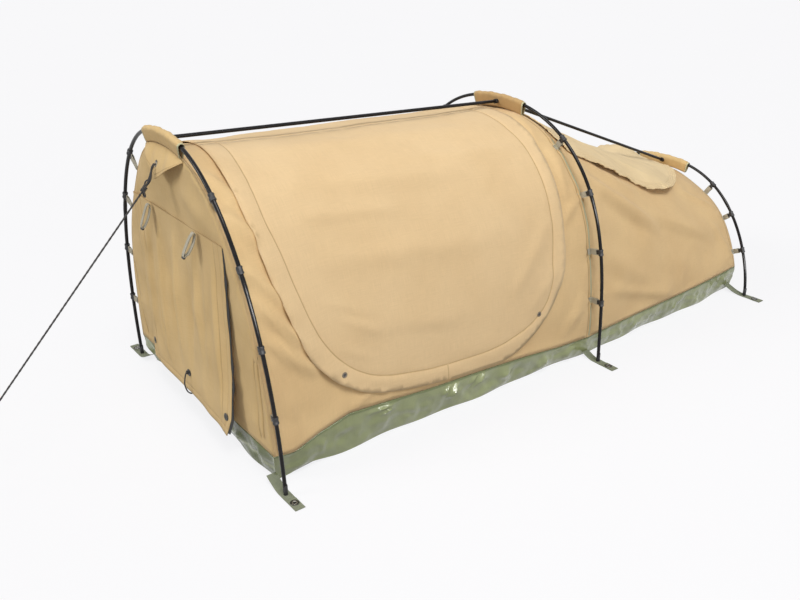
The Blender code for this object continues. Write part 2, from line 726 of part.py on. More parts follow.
def tub_loops():
    """The tub's top edge under the canvas seam, and the floor's edge below it."""
    top, floor = [], []
    for bay in (HEAD_BAY, FOOT_BAY):
        start = 0 if bay is HEAD_BAY else 1
        for k in range(start, bay.steps + 1):
            along = k / bay.steps
            p = bay.place(along, 0.0)
            top.append(Vector((p.x, p.y, p.z - SEAM_GAP)))
    length = top[-1].x - top[0].x
    low_start = top[0].x + TUB_HEAD_IN
    low_length = length - TUB_HEAD_IN + TUB_FOOT_OUT
    for p in top:
        share = (p.x - top[0].x) / length
        floor.append(Vector((low_start + share * low_length, p.y + TUB_DRAW_IN, 0.0)))
    across = 6
    foot_top = [top[-1].lerp(Vector((top[-1].x, -top[-1].y, top[-1].z)), k / across)
                for k in range(1, across)]
    foot_low = [floor[-1].lerp(Vector((floor[-1].x, -floor[-1].y, 0.0)), k / across)
                for k in range(1, across)]
    head_top = [Vector((top[0].x, -top[0].y, top[0].z)).lerp(top[0], k / across)
                for k in range(1, across)]
    head_low = [Vector((floor[0].x, -floor[0].y, 0.0)).lerp(floor[0], k / across)
                for k in range(1, across)]
    far_top = [Vector((p.x, -p.y, p.z)) for p in reversed(top)]
    far_low = [Vector((p.x, -p.y, p.z)) for p in reversed(floor)]
    return top + foot_top + far_top + head_top, floor + foot_low + far_low + head_low


def build_tub():
    """The waterproof tub: a flat floor with walls that lean out to the seam."""
    top, floor = tub_loops()
    count = len(top)
    points = top + floor
    faces = [(k, count + k, count + (k + 1) % count, (k + 1) % count) for k in range(count)]
    faces.append(tuple(range(count, 2 * count)))
    mesh = mesh_from("tub", points, faces)
    tub = add_object("tub", mesh, GREEN)
    work = bmesh.new()
    work.from_mesh(mesh)
    bmesh.ops.recalc_face_normals(work, faces=work.faces)
    work.to_mesh(mesh)
    work.free()
    if mesh.polygons[count].normal.z > 0:
        mesh.flip_normals()
    thicken(tub, TUB_WALL, -1.0)
    smooth(tub)
    return tub


def build_mattress():
    """The foam mattress that lies on the tub's floor."""
    _, floor = tub_loops()
    low_x = min(p.x for p in floor) + TUB_WALL + MATTRESS_GAP
    high_x = max(p.x for p in floor) - TUB_WALL - MATTRESS_GAP
    half_width = min(abs(floor[0].y), abs(floor[HEAD_BAY_STEPS + FOOT_BAY_STEPS].y))
    half_width -= TUB_WALL + MATTRESS_GAP
    mesh = bpy.data.meshes.new("mattress")
    work = bmesh.new()
    bmesh.ops.create_cube(work, size=1.0)
    size = Vector((high_x - low_x, 2 * half_width, MATTRESS_THICKNESS))
    bmesh.ops.scale(work, vec=size, verts=work.verts)
    work.to_mesh(mesh)
    work.free()
    lift = TUB_WALL + TOUCH + MATTRESS_THICKNESS / 2
    pad = add_object("mattress", mesh, FOAM, PARTS,
                     Matrix.Translation(((low_x + high_x) / 2, 0.0, lift)))
    edge = pad.modifiers.new("rounding", "BEVEL")
    edge.width = MATTRESS_ROUNDING
    edge.segments = 3
    smooth(pad)
    return pad


def canvas_point(bay, along, girth, side):
    """A point on the canvas and the way out of it there."""
    near = bay.sheet([along - STEP_SHARE, along, along + STEP_SHARE],
                     [girth - STEP_SHARE, girth, girth + STEP_SHARE])
    by_along = near[2, 1] - near[0, 1]
    by_girth = near[1, 2] - near[1, 0]
    out = np.cross(by_along, by_girth)
    out /= np.linalg.norm(out)
    flip = np.array([1.0, side, 1.0])
    return Vector((near[1, 1] * flip).tolist()), Vector((out * flip).tolist())


def build_door(label, side):
    """The storm flap over a doorway, sewn along the ridge and free round its edge."""
    alongs = np.linspace(0.0, 1.0, HEAD_BAY_STEPS + 1)
    grid = HEAD_BAY.sheet(alongs, NEAR_GIRTHS[:-1], FLAP_GAP)
    door = sheet_object(label + "_door_flap", grid, FLAP, 1.0, TAN_SHADE)
    mirrored(door, side)
    outline = side_outline(HEAD_BAY, DOOR_SHARES)
    top = max(z for _, z in outline) + OVERRUN
    outline = [(outline[0][0], top)] + outline + [(outline[-1][0], top)]
    cutter = side_prism(label + "_door_trim", outline, side, DOOR_HINGE_HALF)
    combine(door, cutter, "INTERSECT")
    for k, (along, girth) in enumerate(DOOR_EYELET_SHARES):
        centre, out = canvas_point(HEAD_BAY, along, girth, side)
        add_eyelet(door, label + "_door_eyelet_" + str(k + 1), centre + out * (FLAP_GAP + FLAP),
                   out, FLAP, FLAP_EYELET_HOLE, FLAP_EYELET_RIM)
    return door


def build_door_screen(label, side):
    """The insect screen in a doorway."""
    alongs = np.linspace(0.0, 1.0, HEAD_BAY_STEPS + 1)
    grid = HEAD_BAY.sheet(alongs, NEAR_GIRTHS[:-1], -CANVAS / 2 - SCREEN / 2)
    screen = sheet_object(label + "_door_screen", grid, SCREEN, 1.0, MESH)
    mirrored(screen, side)
    outline = inset(doorway_outline(), SCREEN_GAP)
    cutter = side_prism(label + "_screen_trim", outline, side, SIDE_GAP)
    combine(screen, cutter, "INTERSECT")
    return screen


def vent_hinge_half(x):
    """How far from the ridge the vent flaps are sewn down, at x."""
    start, end = MIDDLE.canvas()[-1, 0], FOOT.canvas()[-1, 0]
    share = (x - start) / (end - start)
    return VENT_HINGE_HEAD + (VENT_HINGE_FOOT - VENT_HINGE_HEAD) * share


def between_rows(grid):
    """The grid with a row added half way between each two."""
    fine = np.empty((2 * len(grid) - 1, *grid.shape[1:]))
    fine[::2] = grid
    fine[1::2] = (grid[1:] + grid[:-1]) / 2
    return fine


def build_vent_flap(label, side):
    """Half of the tongue that covers the roof vent."""
    alongs = np.linspace(0.0, 1.0, FOOT_BAY_STEPS + 1)
    girths = NEAR_GIRTHS[:-1]
    flat = between_rows(FOOT_BAY.sheet(alongs, girths))
    raised = between_rows(FOOT_BAY.sheet(alongs, girths, 1.0))
    alongs = np.linspace(0.0, 1.0, len(flat))
    fall = np.clip((HINGE_GIRTH - girths) / (HINGE_GIRTH - min(g for _, g in VENT_FLAP_SHARES)),
                   0.0, 1.0)
    wave = 0.5 - 0.5 * np.cos(2 * math.pi * VENT_LOBES * alongs)
    lift = FLAP_GAP + VENT_FLAP_LIFT * np.outer(wave * np.sin(math.pi * alongs), fall)
    grid = flat + (raised - flat) * lift[:, :, None]
    flap = sheet_object(label + "_vent_flap", grid, FLAP, 1.0, TAN_SHADE)
    mirrored(flap, side)
    outline = [(x, y) for x, y in top_outline(FOOT_BAY, VENT_FLAP_SHARES)
               if y < -vent_hinge_half(x) - OVERRUN / 4]
    first, last = outline[0][0], outline[-1][0]
    outline = [(first, -vent_hinge_half(first))] + outline + [(last, -vent_hinge_half(last))]
    outline = [(x, y * side) for x, y in outline]
    combine(flap, top_prism(label + "_vent_flap_trim", outline), "INTERSECT")
    return flap


def build_vent_screen(label, side):
    """The insect screen in one side of the roof vent."""
    alongs = np.linspace(0.0, 1.0, FOOT_BAY_STEPS + 1)
    grid = FOOT_BAY.sheet(alongs, NEAR_GIRTHS[:-1], -CANVAS / 2 - SCREEN / 2)
    screen = sheet_object(label + "_vent_screen", grid, SCREEN, 1.0, MESH)
    mirrored(screen, side)
    outline = inset(vent_outline(side), SCREEN_GAP)
    combine(screen, top_prism(label + "_vent_screen_trim", outline), "INTERSECT")
    return screen


def window_flap_depth(y, z):
    """How far the hanging flap stands in front of the head wall."""
    fall = (WINDOW_FLAP_TOP - z) / (WINDOW_FLAP_TOP - WINDOW_FLAP_HEM)
    wave = math.sin(WINDOW_FOLDS * math.pi * y / WINDOW_FLAP_HALF_WIDTH + fall)
    return FLAP_GAP + WINDOW_FLAP_STAND_OUT * fall ** 1.3 + WINDOW_FLAP_FOLD * fall * (1 + wave)


def build_window_flap():
    """The storm flap that hangs in front of the head window."""
    matrix = head_wall_matrix(0.0)
    rows = []
    for i in range(9):
        z = WINDOW_FLAP_TOP + (WINDOW_FLAP_HEM - WINDOW_FLAP_TOP) * i / 8
        row = []
        for j in range(21):
            y = WINDOW_FLAP_HALF_WIDTH * (j / 10 - 1)
            row.append(tuple(matrix @ Vector((y, z, -window_flap_depth(y, z)))))
        rows.append(row)
    flap = sheet_object("window_flap", np.array(rows), FLAP, -1.0, TAN_SHADE)
    reach = WINDOW_FLAP_HALF_WIDTH - WINDOW_EYELET_IN
    for k, y in enumerate((-reach, 0.0, reach)):
        centre, out, _ = window_flap_point(y, WINDOW_FLAP_HEM + WINDOW_EYELET_UP)
        add_eyelet(flap, "window_eyelet_" + str(k + 1), centre + out * FLAP, out, FLAP,
                   FLAP_EYELET_HOLE, FLAP_EYELET_RIM)
    return flap


def window_flap_point(y, z):
    """A point on the flap's inner face, the way out of it and the way up it."""
    matrix = head_wall_matrix(0.0)
    low = matrix @ Vector((y, z - WINDOW_EYELET_IN, -window_flap_depth(y, z - WINDOW_EYELET_IN)))
    high = matrix @ Vector((y, z + WINDOW_EYELET_IN, -window_flap_depth(y, z + WINDOW_EYELET_IN)))
    up = (high - low).normalized()
    out = Vector((0.0, 1.0, 0.0)).cross(up)
    if out.x > 0:
        out.negate()
    return matrix @ Vector((y, z, -window_flap_depth(y, z))), out, up


def build_elastic_loop():
    """A shock-cord ring through the middle eyelet and round the hem."""
    eyelet, out, _ = window_flap_point(0.0, WINDOW_FLAP_HEM + WINDOW_EYELET_UP)
    hem = head_wall_matrix(0.0) @ Vector((0.0, WINDOW_FLAP_HEM,
                                          -window_flap_depth(0.0, WINDOW_FLAP_HEM)))
    high = eyelet + out * FLAP / 2
    low = hem + out * FLAP / 2
    up = (high - low).normalized()
    front = Vector((0.0, 1.0, 0.0)).cross(up)
    low -= up * ELASTIC_BELOW
    half = ELASTIC_HALF_DEPTH
    points = []
    for k in range(7):
        turn = math.pi * k / 6
        points.append(high - up * half + front * half * math.cos(turn) + up * half * math.sin(turn))
    for k in range(7):
        turn = math.pi * k / 6
        points.append(low + up * half - front * half * math.cos(turn) - up * half * math.sin(turn))
    return tube("elastic_loop", points, ELASTIC_RADIUS, ROPE, 1, None, True)


def build_window_screen():
    """The insect screen in the head window."""
    made = plate("window_screen", [window_outline(SCREEN_GAP)], SCREEN / 2,
                 head_wall_matrix(-CANVAS / 2), MESH)
    return made


def hood_point(share, fall):
    """A point on the hood: share runs across from -1 to 1, fall from seam to hem."""
    roof = HEAD.canvas()
    wall = head_wall_matrix(0.0)
    seam_gap = TOUCH
    y = HOOD_HALF_WIDTH * share
    top = wall @ Vector((y, float(np.interp(-abs(y), roof[:, 1], roof[:, 2])), -seam_gap))
    side_z = float(np.interp(-HOOD_HALF_WIDTH, roof[:, 1], roof[:, 2])) - HOOD_HEM
    side = wall @ Vector((HOOD_HALF_WIDTH * math.copysign(1.0, share), side_z, -seam_gap))
    tip = wall @ Vector((0.0, HOOD_TIP_HEIGHT, -HOOD_TIP_OUT))
    low = tip.lerp(side, abs(share))
    swell = HOOD_HEM * 2 * fall * (1 - fall) * (1 - share ** 2)
    return top.lerp(low, fall) - Vector((swell, 0.0, 0.0))


def hood_eyelet():
    """The middle of the hood's eyelet on its outer face, and the way out of it."""
    fall = HOOD_EYELET_FALL_SHARE
    down = hood_point(0.0, fall + STEP_SHARE) - hood_point(0.0, fall - STEP_SHARE)
    out = down.cross(Vector((0.0, 1.0, 0.0))).normalized()
    if out.x > 0:
        out.negate()
    return hood_point(0.0, fall) + out * HOOD_CLOTH, out


def build_hood():
    """The small awning over the window, drawn out to the guy rope's eyelet."""
    rows = [[tuple(hood_point(j / 8 - 1, i / 5)) for i in range(6)] for j in range(17)]
    hood = sheet_object("hood", np.array(rows), HOOD_CLOTH, 1.0, TAN)
    centre, out = hood_eyelet()
    add_eyelet(hood, "hood_eyelet", centre, out, HOOD_CLOTH,
               ROPE_RADIUS + HOOD_EYELET_CLEARANCE, HOOD_EYELET_RIM)
    return hood


def build_roof_hook():
    """A webbing hook that stands on the roof, under the foot ridge pole."""
    base = FOOT_BAY.place(HOOK_PLACE_SHARE, 0.5)
    ahead = FOOT_BAY.place(HOOK_PLACE_SHARE + STEP_SHARE, 0.5)
    along = (ahead - base).normalized()
    up = along.cross(Vector((0.0, -1.0, 0.0))).normalized()
    if up.z < 0:
        up.negate()
    bar, reach, height = HOOK_BAR, HOOK_REACH, HOOK_HEIGHT
    outline = [(0.0, TOUCH), (bar, TOUCH), (bar, height - bar), (reach - bar, height - bar),
               (reach - bar, height - bar * 3), (reach, height - bar * 3), (reach, height),
               (0.0, height)]
    turn = Matrix((along, up, along.cross(up))).transposed().to_4x4()
    return plate("roof_hook", [outline], HOOK_WIDTH / 2, Matrix.Translation(base) @ turn,
                 BLACK_PLASTIC)


def clip_outline(reach):
    """A snap-on C round the pole, an arm, and the webbing that ends reach from the pole."""
    inner = POLE_RADIUS + CLIP_CLEARANCE
    mouth = math.asin(CLIP_MOUTH / 2 / inner)
    points = []
    for k in range(9):
        turn = math.pi + mouth + (2 * math.pi - 2 * mouth) * k / 8
        points.append((inner * math.cos(turn), inner * math.sin(turn)))
    arm_turn = math.asin(CLIP_ARM / 2 / CLIP_RADIUS)
    outer_mouth = math.asin(CLIP_MOUTH / 2 / CLIP_RADIUS)
    for k in range(4):
        turn = math.pi - outer_mouth + (arm_turn - math.pi + outer_mouth) * k / 3
        points.append((CLIP_RADIUS * math.cos(turn), CLIP_RADIUS * math.sin(turn)))
    points += [(CLIP_ARM_REACH, CLIP_ARM / 2), (CLIP_ARM_REACH, WEB_THICKNESS / 2),
               (reach, WEB_THICKNESS / 2), (reach, -WEB_THICKNESS / 2),
               (CLIP_ARM_REACH, -WEB_THICKNESS / 2), (CLIP_ARM_REACH, -CLIP_ARM / 2)]
    for k in range(4):
        turn = -arm_turn - (math.pi - outer_mouth - arm_turn) * k / 3
        points.append((CLIP_RADIUS * math.cos(turn), CLIP_RADIUS * math.sin(turn)))
    return points


def clip_matrix_and_reach(hoop, share, side):
    """Where a clip sits on its hoop, and how far the canvas is from the pole there."""
    centre, tangent, inward = hoop.place(share * hoop.half_width)
    reach = float(np.linalg.norm(inward)) - TOUCH
    flip = np.array([1.0, side, 1.0])
    x_axis = Vector((inward * flip).tolist()).normalized()
    z_axis = Vector((tangent * flip).tolist())
    turn = Matrix((x_axis, z_axis.cross(x_axis), z_axis)).transposed().to_4x4()
    return Matrix.Translation(Vector((centre * flip).tolist())) @ turn, reach


def build_clips(hoop):
    for label, side in SIDES:
        for k, share in enumerate(hoop.clip_shares):
            matrix, reach = clip_matrix_and_reach(hoop, share, side)
            name = label + "_" + hoop.name + "_clip_" + str(k + 1)
            plate(name, [clip_outline(reach)], CLIP_WIDTH / 2, matrix, GREY_WEB)


def build_tab(hoop, label, side):
    """A webbing tab from the tub's edge, under the pole's foot, to its peg eyelet."""
    inner = tub_side(hoop) + TAB_GAP
    outer = hoop.half_width + TAB_REACH
    half = TAB_WIDTH / 2
    outline = [(hoop.x - half, -inner), (hoop.x + half, -inner),
               (hoop.x + half, -outer), (hoop.x - half, -outer)]
    lift = Matrix.Translation((0.0, 0.0, TAB_THICKNESS / 2))
    name = label + "_" + hoop.name + "_tab"
    tab = plate(name, [outline], TAB_THICKNESS / 2, lift, GREEN, PARTS, True)
    eyelet_y = -(hoop.half_width + TAB_EYELET_REACH)
    high = TAB_THICKNESS + TAB_EYELET_PROUD
    rim = cylinder(name + "_rim", (hoop.x, eyelet_y, TAB_THICKNESS / 2),
                   (hoop.x, eyelet_y, high), TAB_EYELET_RIM)
    combine(tab, rim, "UNION")
    for suffix, y, radius in (("_eyelet_hole", eyelet_y, TAB_EYELET_HOLE),
                              ("_pin_hole", -hoop.half_width,
                                POLE_PIN_RADIUS + TAB_PIN_CLEARANCE)):
        hole = cylinder(name + suffix, (hoop.x, y, -OVERRUN), (hoop.x, y, OVERRUN), radius)
        combine(tab, hole, "DIFFERENCE")
        if side < 0:
            hole.matrix_world = Matrix.Scale(-1.0, 4, (0.0, 1.0, 0.0)) @ hole.matrix_world
    if side < 0:
        flip = Matrix.Scale(-1.0, 4, (0.0, 1.0, 0.0))
        rim.matrix_world = flip @ rim.matrix_world
        mirrored(tab, side)
    return tab


def tub_side(hoop):
    """How far out the tub's wall reaches, at the tab's top face and over its width."""
    top, floor = tub_loops()
    count = HEAD_BAY_STEPS + FOOT_BAY_STEPS + 1
    places = np.linspace(hoop.x - TAB_WIDTH / 2, hoop.x + TAB_WIDTH / 2, 5)
    low = np.interp(places, [p.x for p in floor[:count]], [-p.y for p in floor[:count]])
    high = np.interp(places, [p.x for p in top[:count]], [-p.y for p in top[:count]])
    rise = np.interp(places, [p.x for p in top[:count]], [p.z for p in top[:count]])
    return float(np.max(low + (high - low) * TAB_THICKNESS / rise))


def build_tie_loop(label, side):
    """A loop of webbing that hangs at the top of the window flap."""
    half = LOOP_DEPTH / 2

    def racetrack(radius):
        points = []
        for k in range(7):
            turn = math.pi * k / 6
            points.append((radius * math.cos(turn), radius * math.sin(turn) - half))
        for k in range(7):
            turn = math.pi + math.pi * k / 6
            points.append((radius * math.cos(turn), radius * math.sin(turn) - LOOP_LENGTH + half))
        return points

    front = window_flap_depth(LOOP_PLACE, WINDOW_FLAP_TOP) + FLAP + LOOP_GAP
    front += half * (1 - math.sin(LOOP_LEAN))
    top = head_wall_matrix(0.0) @ Vector((-side * LOOP_PLACE, WINDOW_FLAP_TOP, -front))
    across = Vector((0.0, 1.0, 0.0))
    up = Vector((math.sin(LOOP_LEAN), 0.0, math.cos(LOOP_LEAN)))
    forward = up.cross(across)
    turn = Matrix((forward, up, forward.cross(up))).transposed().to_4x4()
    return plate(label + "_tie_loop", [racetrack(half), racetrack(half - LOOP_WEB)],
                 LOOP_WIDTH / 2, Matrix.Translation(top) @ turn, GREY_WEB)


def rope_places():
    """The rope's turning points: behind the eyelet, the knot, the ground and its end."""
    eyelet, out = hood_eyelet()
    knot = eyelet + Vector((-KNOT_OUT, 0.0, -KNOT_DOWN))
    ground = Vector((eyelet.x - PEG_OUT, 0.0, 0.0))
    return eyelet, out, knot, ground


def eased(points, reach):
    """The open line through points with each corner cut short by up to reach."""
    line = [points[0]]
    for before, corner, after in zip(points, points[1:], points[2:]):
        back, ahead = before - corner, after - corner
        short = min(reach, back.length / 3, ahead.length / 3)
        first = corner + back.normalized() * short
        last = corner + ahead.normalized() * short
        line += [first, (first + last + corner * 2) / 4, last]
    line.append(points[-1])
    return line


def build_rope():
    """The guy rope, its knot below the hood and the peg loop at its end."""
    eyelet, out, knot, ground = rope_places()
    slope = (ground - knot).normalized()
    bend = ground - slope * ROPE_EASE
    lie = Vector((-1.0, 0.0, 0.0))
    down = Vector((ground.x, 0.0, ROPE_LIFT)) + lie * ROPE_LIFT
    route = [eyelet - out * (ROPE_BEHIND + HOOD_CLOTH), eyelet + out * ROPE_FRONT,
             knot - slope * KNOT_LENGTH / 3, knot + slope * KNOT_LENGTH * 1.5]
    route += [knot.lerp(bend, k / ROPE_SPAN_STEPS) for k in range(1, ROPE_SPAN_STEPS)]
    route += [bend, bend.lerp(down + lie * ROPE_LIFT, 0.6), down + lie * ROPE_LIE / 2,
              down + lie * ROPE_LIE]
    tube("guy_rope", eased(route, ROPE_EASE / 4), ROPE_RADIUS, ROPE)
    build_knot(knot + slope * KNOT_LENGTH / 2, slope)
    build_end_loop(down + lie * ROPE_LIE)


def build_knot(centre, along):
    """A turned barrel for the wound knot, with the rope's way through it."""
    half = KNOT_LENGTH / 2
    bore = ROPE_RADIUS + TOUCH * 2
    curve_steps = 6
    profile = [(bore, -half)]
    for k in range(curve_steps + 1):
        turn = math.pi * k / curve_steps
        swell = bore + (KNOT_RADIUS - bore) * math.sin(turn) ** 0.5
        profile.append((max(swell, bore + TOUCH), -half * math.cos(turn)))
    profile.append((bore, half))
    mesh = bpy.data.meshes.new("guy_knot")
    count = len(profile)
    mesh.from_pydata([(r, 0.0, z) for r, z in profile],
                     [(k, (k + 1) % count) for k in range(count)], [])
    turn = along.to_track_quat("Z", "Y").to_matrix().to_4x4()
    knot = add_object("guy_knot", mesh, ROPE, PARTS, Matrix.Translation(centre) @ turn)
    spin = knot.modifiers.new("turned", "SCREW")
    spin.axis = "Z"
    spin.angle = 2 * math.pi
    spin.steps = 12
    spin.render_steps = 12
    spin.use_merge_vertices = True
    spin.merge_threshold = MERGE_REACH
    spin.use_normal_calculate = True
    return knot


def build_end_loop(end):
    """The closed loop that a peg holds, lying on the ground past the rope's end."""
    centre = end - Vector((END_LOOP_RADIUS + ROPE_RADIUS + TOUCH, 0.0, 0.0))
    points = []
    for k in range(18):
        turn = 2 * math.pi * k / 18
        points.append(centre + Vector((math.cos(turn), math.sin(turn), 0.0)) * END_LOOP_RADIUS)
    return tube("guy_end_loop", points, ROPE_RADIUS, ROPE, 2, None, True)


def build():
    for hoop in (HEAD, MIDDLE, FOOT):
        build_hoop(hoop)
    build_ridge_pole("head_ridge_pole", HEAD, MIDDLE)
    build_ridge_pole("foot_ridge_pole", MIDDLE, FOOT)
    head_first, head_last, head_along = ridge_ends(HEAD, MIDDLE)
    foot_first, foot_last, foot_along = ridge_ends(MIDDLE, FOOT)
    toward = {"head": [(head_first, head_along)],
              "middle": [(head_last, -head_along), (foot_first, foot_along)],
              "foot": [(foot_last, -foot_along)]}
    for hoop in (HEAD, MIDDLE, FOOT):
        build_hub(hoop, toward[hoop.name])
        build_sleeve(hoop, toward[hoop.name])
    build_canvas()
    build_tub()
    build_mattress()
    for label, side in SIDES:
        build_door(label, side)
        build_door_screen(label, side)
        build_vent_flap(label, side)
        build_vent_screen(label, side)
        build_tie_loop(label, side)
        for hoop in (HEAD, MIDDLE, FOOT):
            build_tab(hoop, label, side)
    build_window_flap()
    build_elastic_loop()
    build_roof_hook()
    build_window_screen()
    build_hood()
    for hoop in (HEAD, MIDDLE, FOOT):
        build_clips(hoop)
    build_rope()


build()
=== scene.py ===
import math

import bmesh
import bpy
import numpy as np
from mathutils import Matrix, Vector
from mathutils.geometry import delaunay_2d_cdt
from mathutils.kdtree import KDTree


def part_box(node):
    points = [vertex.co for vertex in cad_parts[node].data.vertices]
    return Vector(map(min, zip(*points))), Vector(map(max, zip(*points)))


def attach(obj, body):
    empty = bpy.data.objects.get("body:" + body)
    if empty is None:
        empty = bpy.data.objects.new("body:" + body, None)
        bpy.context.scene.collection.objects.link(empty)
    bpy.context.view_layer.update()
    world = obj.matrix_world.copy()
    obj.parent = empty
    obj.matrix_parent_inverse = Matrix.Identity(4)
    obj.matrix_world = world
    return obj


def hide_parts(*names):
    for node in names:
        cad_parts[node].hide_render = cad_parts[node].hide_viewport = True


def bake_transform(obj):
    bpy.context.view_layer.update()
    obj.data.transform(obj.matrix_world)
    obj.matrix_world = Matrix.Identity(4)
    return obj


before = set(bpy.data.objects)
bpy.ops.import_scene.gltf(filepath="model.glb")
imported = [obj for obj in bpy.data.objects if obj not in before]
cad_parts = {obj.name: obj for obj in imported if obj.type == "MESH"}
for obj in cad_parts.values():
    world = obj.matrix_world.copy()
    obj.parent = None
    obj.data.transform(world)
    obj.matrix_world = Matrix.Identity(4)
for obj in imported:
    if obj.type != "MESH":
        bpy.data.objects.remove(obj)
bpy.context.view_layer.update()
scene = bpy.context.scene
scene.view_settings.view_transform = "Standard"

# Sizes repeated from the CAD source, in metres
hoops = {
    "head": {"x": -1.05, "half": 0.492, "height": 0.870, "tilt": -0.030, "powers": (2.31, 2.13),
             "drop": 0.032, "clips": (0.545, 0.765, 0.905, 0.975)},
    "middle": {"x": 0.164, "half": 0.499, "height": 0.822, "tilt": -0.043, "powers": (2.19, 3.44),
               "drop": 0.036, "clips": (0.595, 0.845, 0.962, 0.995)},
    "foot": {"x": 1.05, "half": 0.486, "height": 0.456, "tilt": 0.045, "powers": (2.45, 1.53),
             "drop": 0.032, "clips": (0.512, 0.733, 0.897)},
}
sideGap, seamHeight = 0.045, 0.100      # the cloth hangs this far inside its pole; the tub's seam
headLength, footLength, girthLength = 1.20, 0.99, 1.80      # cloth of the two bays, and over the roof
totalLength = headLength + footLength
sides = (("near", 1.0), ("far", -1.0))

# Height of the tub's seam along each bay, as shares of the bay and of the seam height
headSeams = ((0.0, 0.95), (0.05, 0.85), (0.12, 1.15), (0.2, 1.38), (0.3, 1.30), (0.43, 1.18),
             (0.6, 1.10), (0.76, 0.98), (0.88, 0.84), (1.0, 0.78))
footSeams = ((0.0, 0.78), (0.1, 0.83), (0.3, 0.90), (0.5, 0.93), (1.0, 1.04))

# Cuts in shares of their bay's length and of the girth
doorEdge = ((0.078, 0.50), (0.067, 0.42), (0.064, 0.35), (0.067, 0.27), (0.080, 0.213),
            (0.106, 0.140), (0.138, 0.096), (0.191, 0.052), (0.255, 0.027), (0.345, 0.014),
            (0.467, 0.007), (0.60, 0.005), (0.704, 0.013), (0.809, 0.056), (0.882, 0.125),
            (0.914, 0.213), (0.927, 0.30), (0.942, 0.39), (0.952, 0.50))
doorway = ((0.110, 0.41), (0.104, 0.33), (0.111, 0.283), (0.126, 0.208), (0.151, 0.145),
           (0.196, 0.090), (0.251, 0.060), (0.315, 0.045), (0.397, 0.038), (0.487, 0.034),
           (0.603, 0.034), (0.688, 0.042), (0.779, 0.064), (0.838, 0.105), (0.862, 0.171),
           (0.879, 0.228), (0.889, 0.30), (0.895, 0.36), (0.892, 0.41))
tongueEdge = ((0.014, 0.50), (0.013, 0.42), (0.022, 0.360), (0.060, 0.338), (0.16, 0.327),
              (0.27, 0.314), (0.38, 0.300), (0.44, 0.285), (0.51, 0.277), (0.58, 0.277),
              (0.65, 0.286), (0.73, 0.308), (0.80, 0.339), (0.865, 0.385), (0.905, 0.44), (0.92, 0.50))
ventHole = ((0.12, 0.445), (0.12, 0.38), (0.20, 0.365), (0.40, 0.345), (0.55, 0.325),
            (0.68, 0.340), (0.77, 0.375), (0.80, 0.445))


def stageNote(text):
    print("scene:", text)


def unit(rows):
    return rows / np.linalg.norm(rows, axis=-1, keepdims=True)


def clip01(values):
    return np.clip(values, 0, 1)


def hump(gap, size):      # 1 in the middle, gone about two sizes away
    return np.exp(-(gap / size) ** 2)


def reachOf(line):      # length from the start of a line to each of its points
    return np.concatenate([[0.0], np.cumsum(np.linalg.norm(np.diff(line, axis=0), axis=1))])


def evenly(line, step, closed=False):      # the same line with points about a step apart
    rows = np.vstack([line, line[:1]]) if closed else np.asarray(line, float)
    length = reachOf(rows)
    reach = np.linspace(0.0, length[-1], max(2, int(round(length[-1] / step)) + 1))
    out = np.stack([np.interp(reach, length, rows[:, k]) for k in range(rows.shape[1])], axis=1)
    return out[:-1] if closed else out


def smoothLine(points, steps=8):      # a curve through a few chosen points
    rows = np.array(points, float)
    rows = np.vstack([2 * rows[0] - rows[1], rows, 2 * rows[-1] - rows[-2]])
    line = []
    for a, b, c, d in zip(rows[:-3], rows[1:-2], rows[2:-1], rows[3:]):
        for t in np.arange(steps) / steps:
            line.append(0.5 * (2 * b + (c - a) * t + (2 * a - 5 * b + 4 * c - d) * t ** 2
                               + (3 * b - a - 3 * c + d) * t ** 3))
    return np.array(line + [rows[-2]])


def hoopHalf(hoop, inset=0.0, drop=0.0, count=240):      # near half of a hoop, foot to crown
    turn = np.linspace(0.0, math.pi / 2, count)
    y = -(hoop["half"] - inset) * clip01(np.cos(turn)) ** (2 / hoop["powers"][0])
    z = (hoop["height"] - drop) * clip01(np.sin(turn)) ** (2 / hoop["powers"][1])
    return np.stack([hoop["x"] + hoop["tilt"] / hoop["height"] * z, y, z], axis=1)


def bayTable(start, end, sag, sink, draw, seams, rows=121, columns=161):
    # Points and normals of the near half of the canvas between two hoops, seam to ridge
    first, last = (hoopHalf(hoop, sideGap, hoop["drop"]) for hoop in (start, end))
    turn = np.linspace(0.0, math.pi / 2, len(first))
    table = np.empty((rows, columns, 3))
    for i, along in enumerate(np.linspace(0.0, 1.0, rows)):
        line = first * (1 - along) + last * along
        slack = 4 * along * (1 - along)
        dip = sink * 4 * along ** 0.45 * (1 - along ** 0.45)      # deepest just behind the first hoop
        line[:, 2] -= (slack * sag + dip) * np.sin(turn) ** 3
        line[:, 1] += slack * draw * np.cos(turn) * np.sin(2 * turn)
        length = reachOf(line)
        seamAt = np.interp(seamHeight * np.interp(along, *zip(*seams)), line[:, 2], length)
        reach = seamAt + np.linspace(0.0, 1.0, columns) * (length[-1] - seamAt)
        table[i] = np.stack([np.interp(reach, length, line[:, k]) for k in range(3)], axis=1)
    normal = unit(np.cross(np.gradient(table, axis=0), np.gradient(table, axis=1)))
    return np.concatenate([table, normal], axis=2)


headTable = bayTable(hoops["head"], hoops["middle"], 0.003, 0.015, 0.012, headSeams)
footTable = bayTable(hoops["middle"], hoops["foot"], 0.035, 0.0, 0.008, footSeams)


def readTable(table, along, girth):
    rows, columns = table.shape[:2]
    r = clip01(along) * (rows - 1)
    c = np.clip(girth, 0, 0.5) * 2 * (columns - 1)
    i, j = np.minimum(r.astype(int), rows - 2), np.minimum(c.astype(int), columns - 2)
    a, b = (r - i)[:, None], (c - j)[:, None]
    return ((1 - a) * (1 - b) * table[i, j] + a * (1 - b) * table[i + 1, j]
            + (1 - a) * b * table[i, j + 1] + a * b * table[i + 1, j + 1])


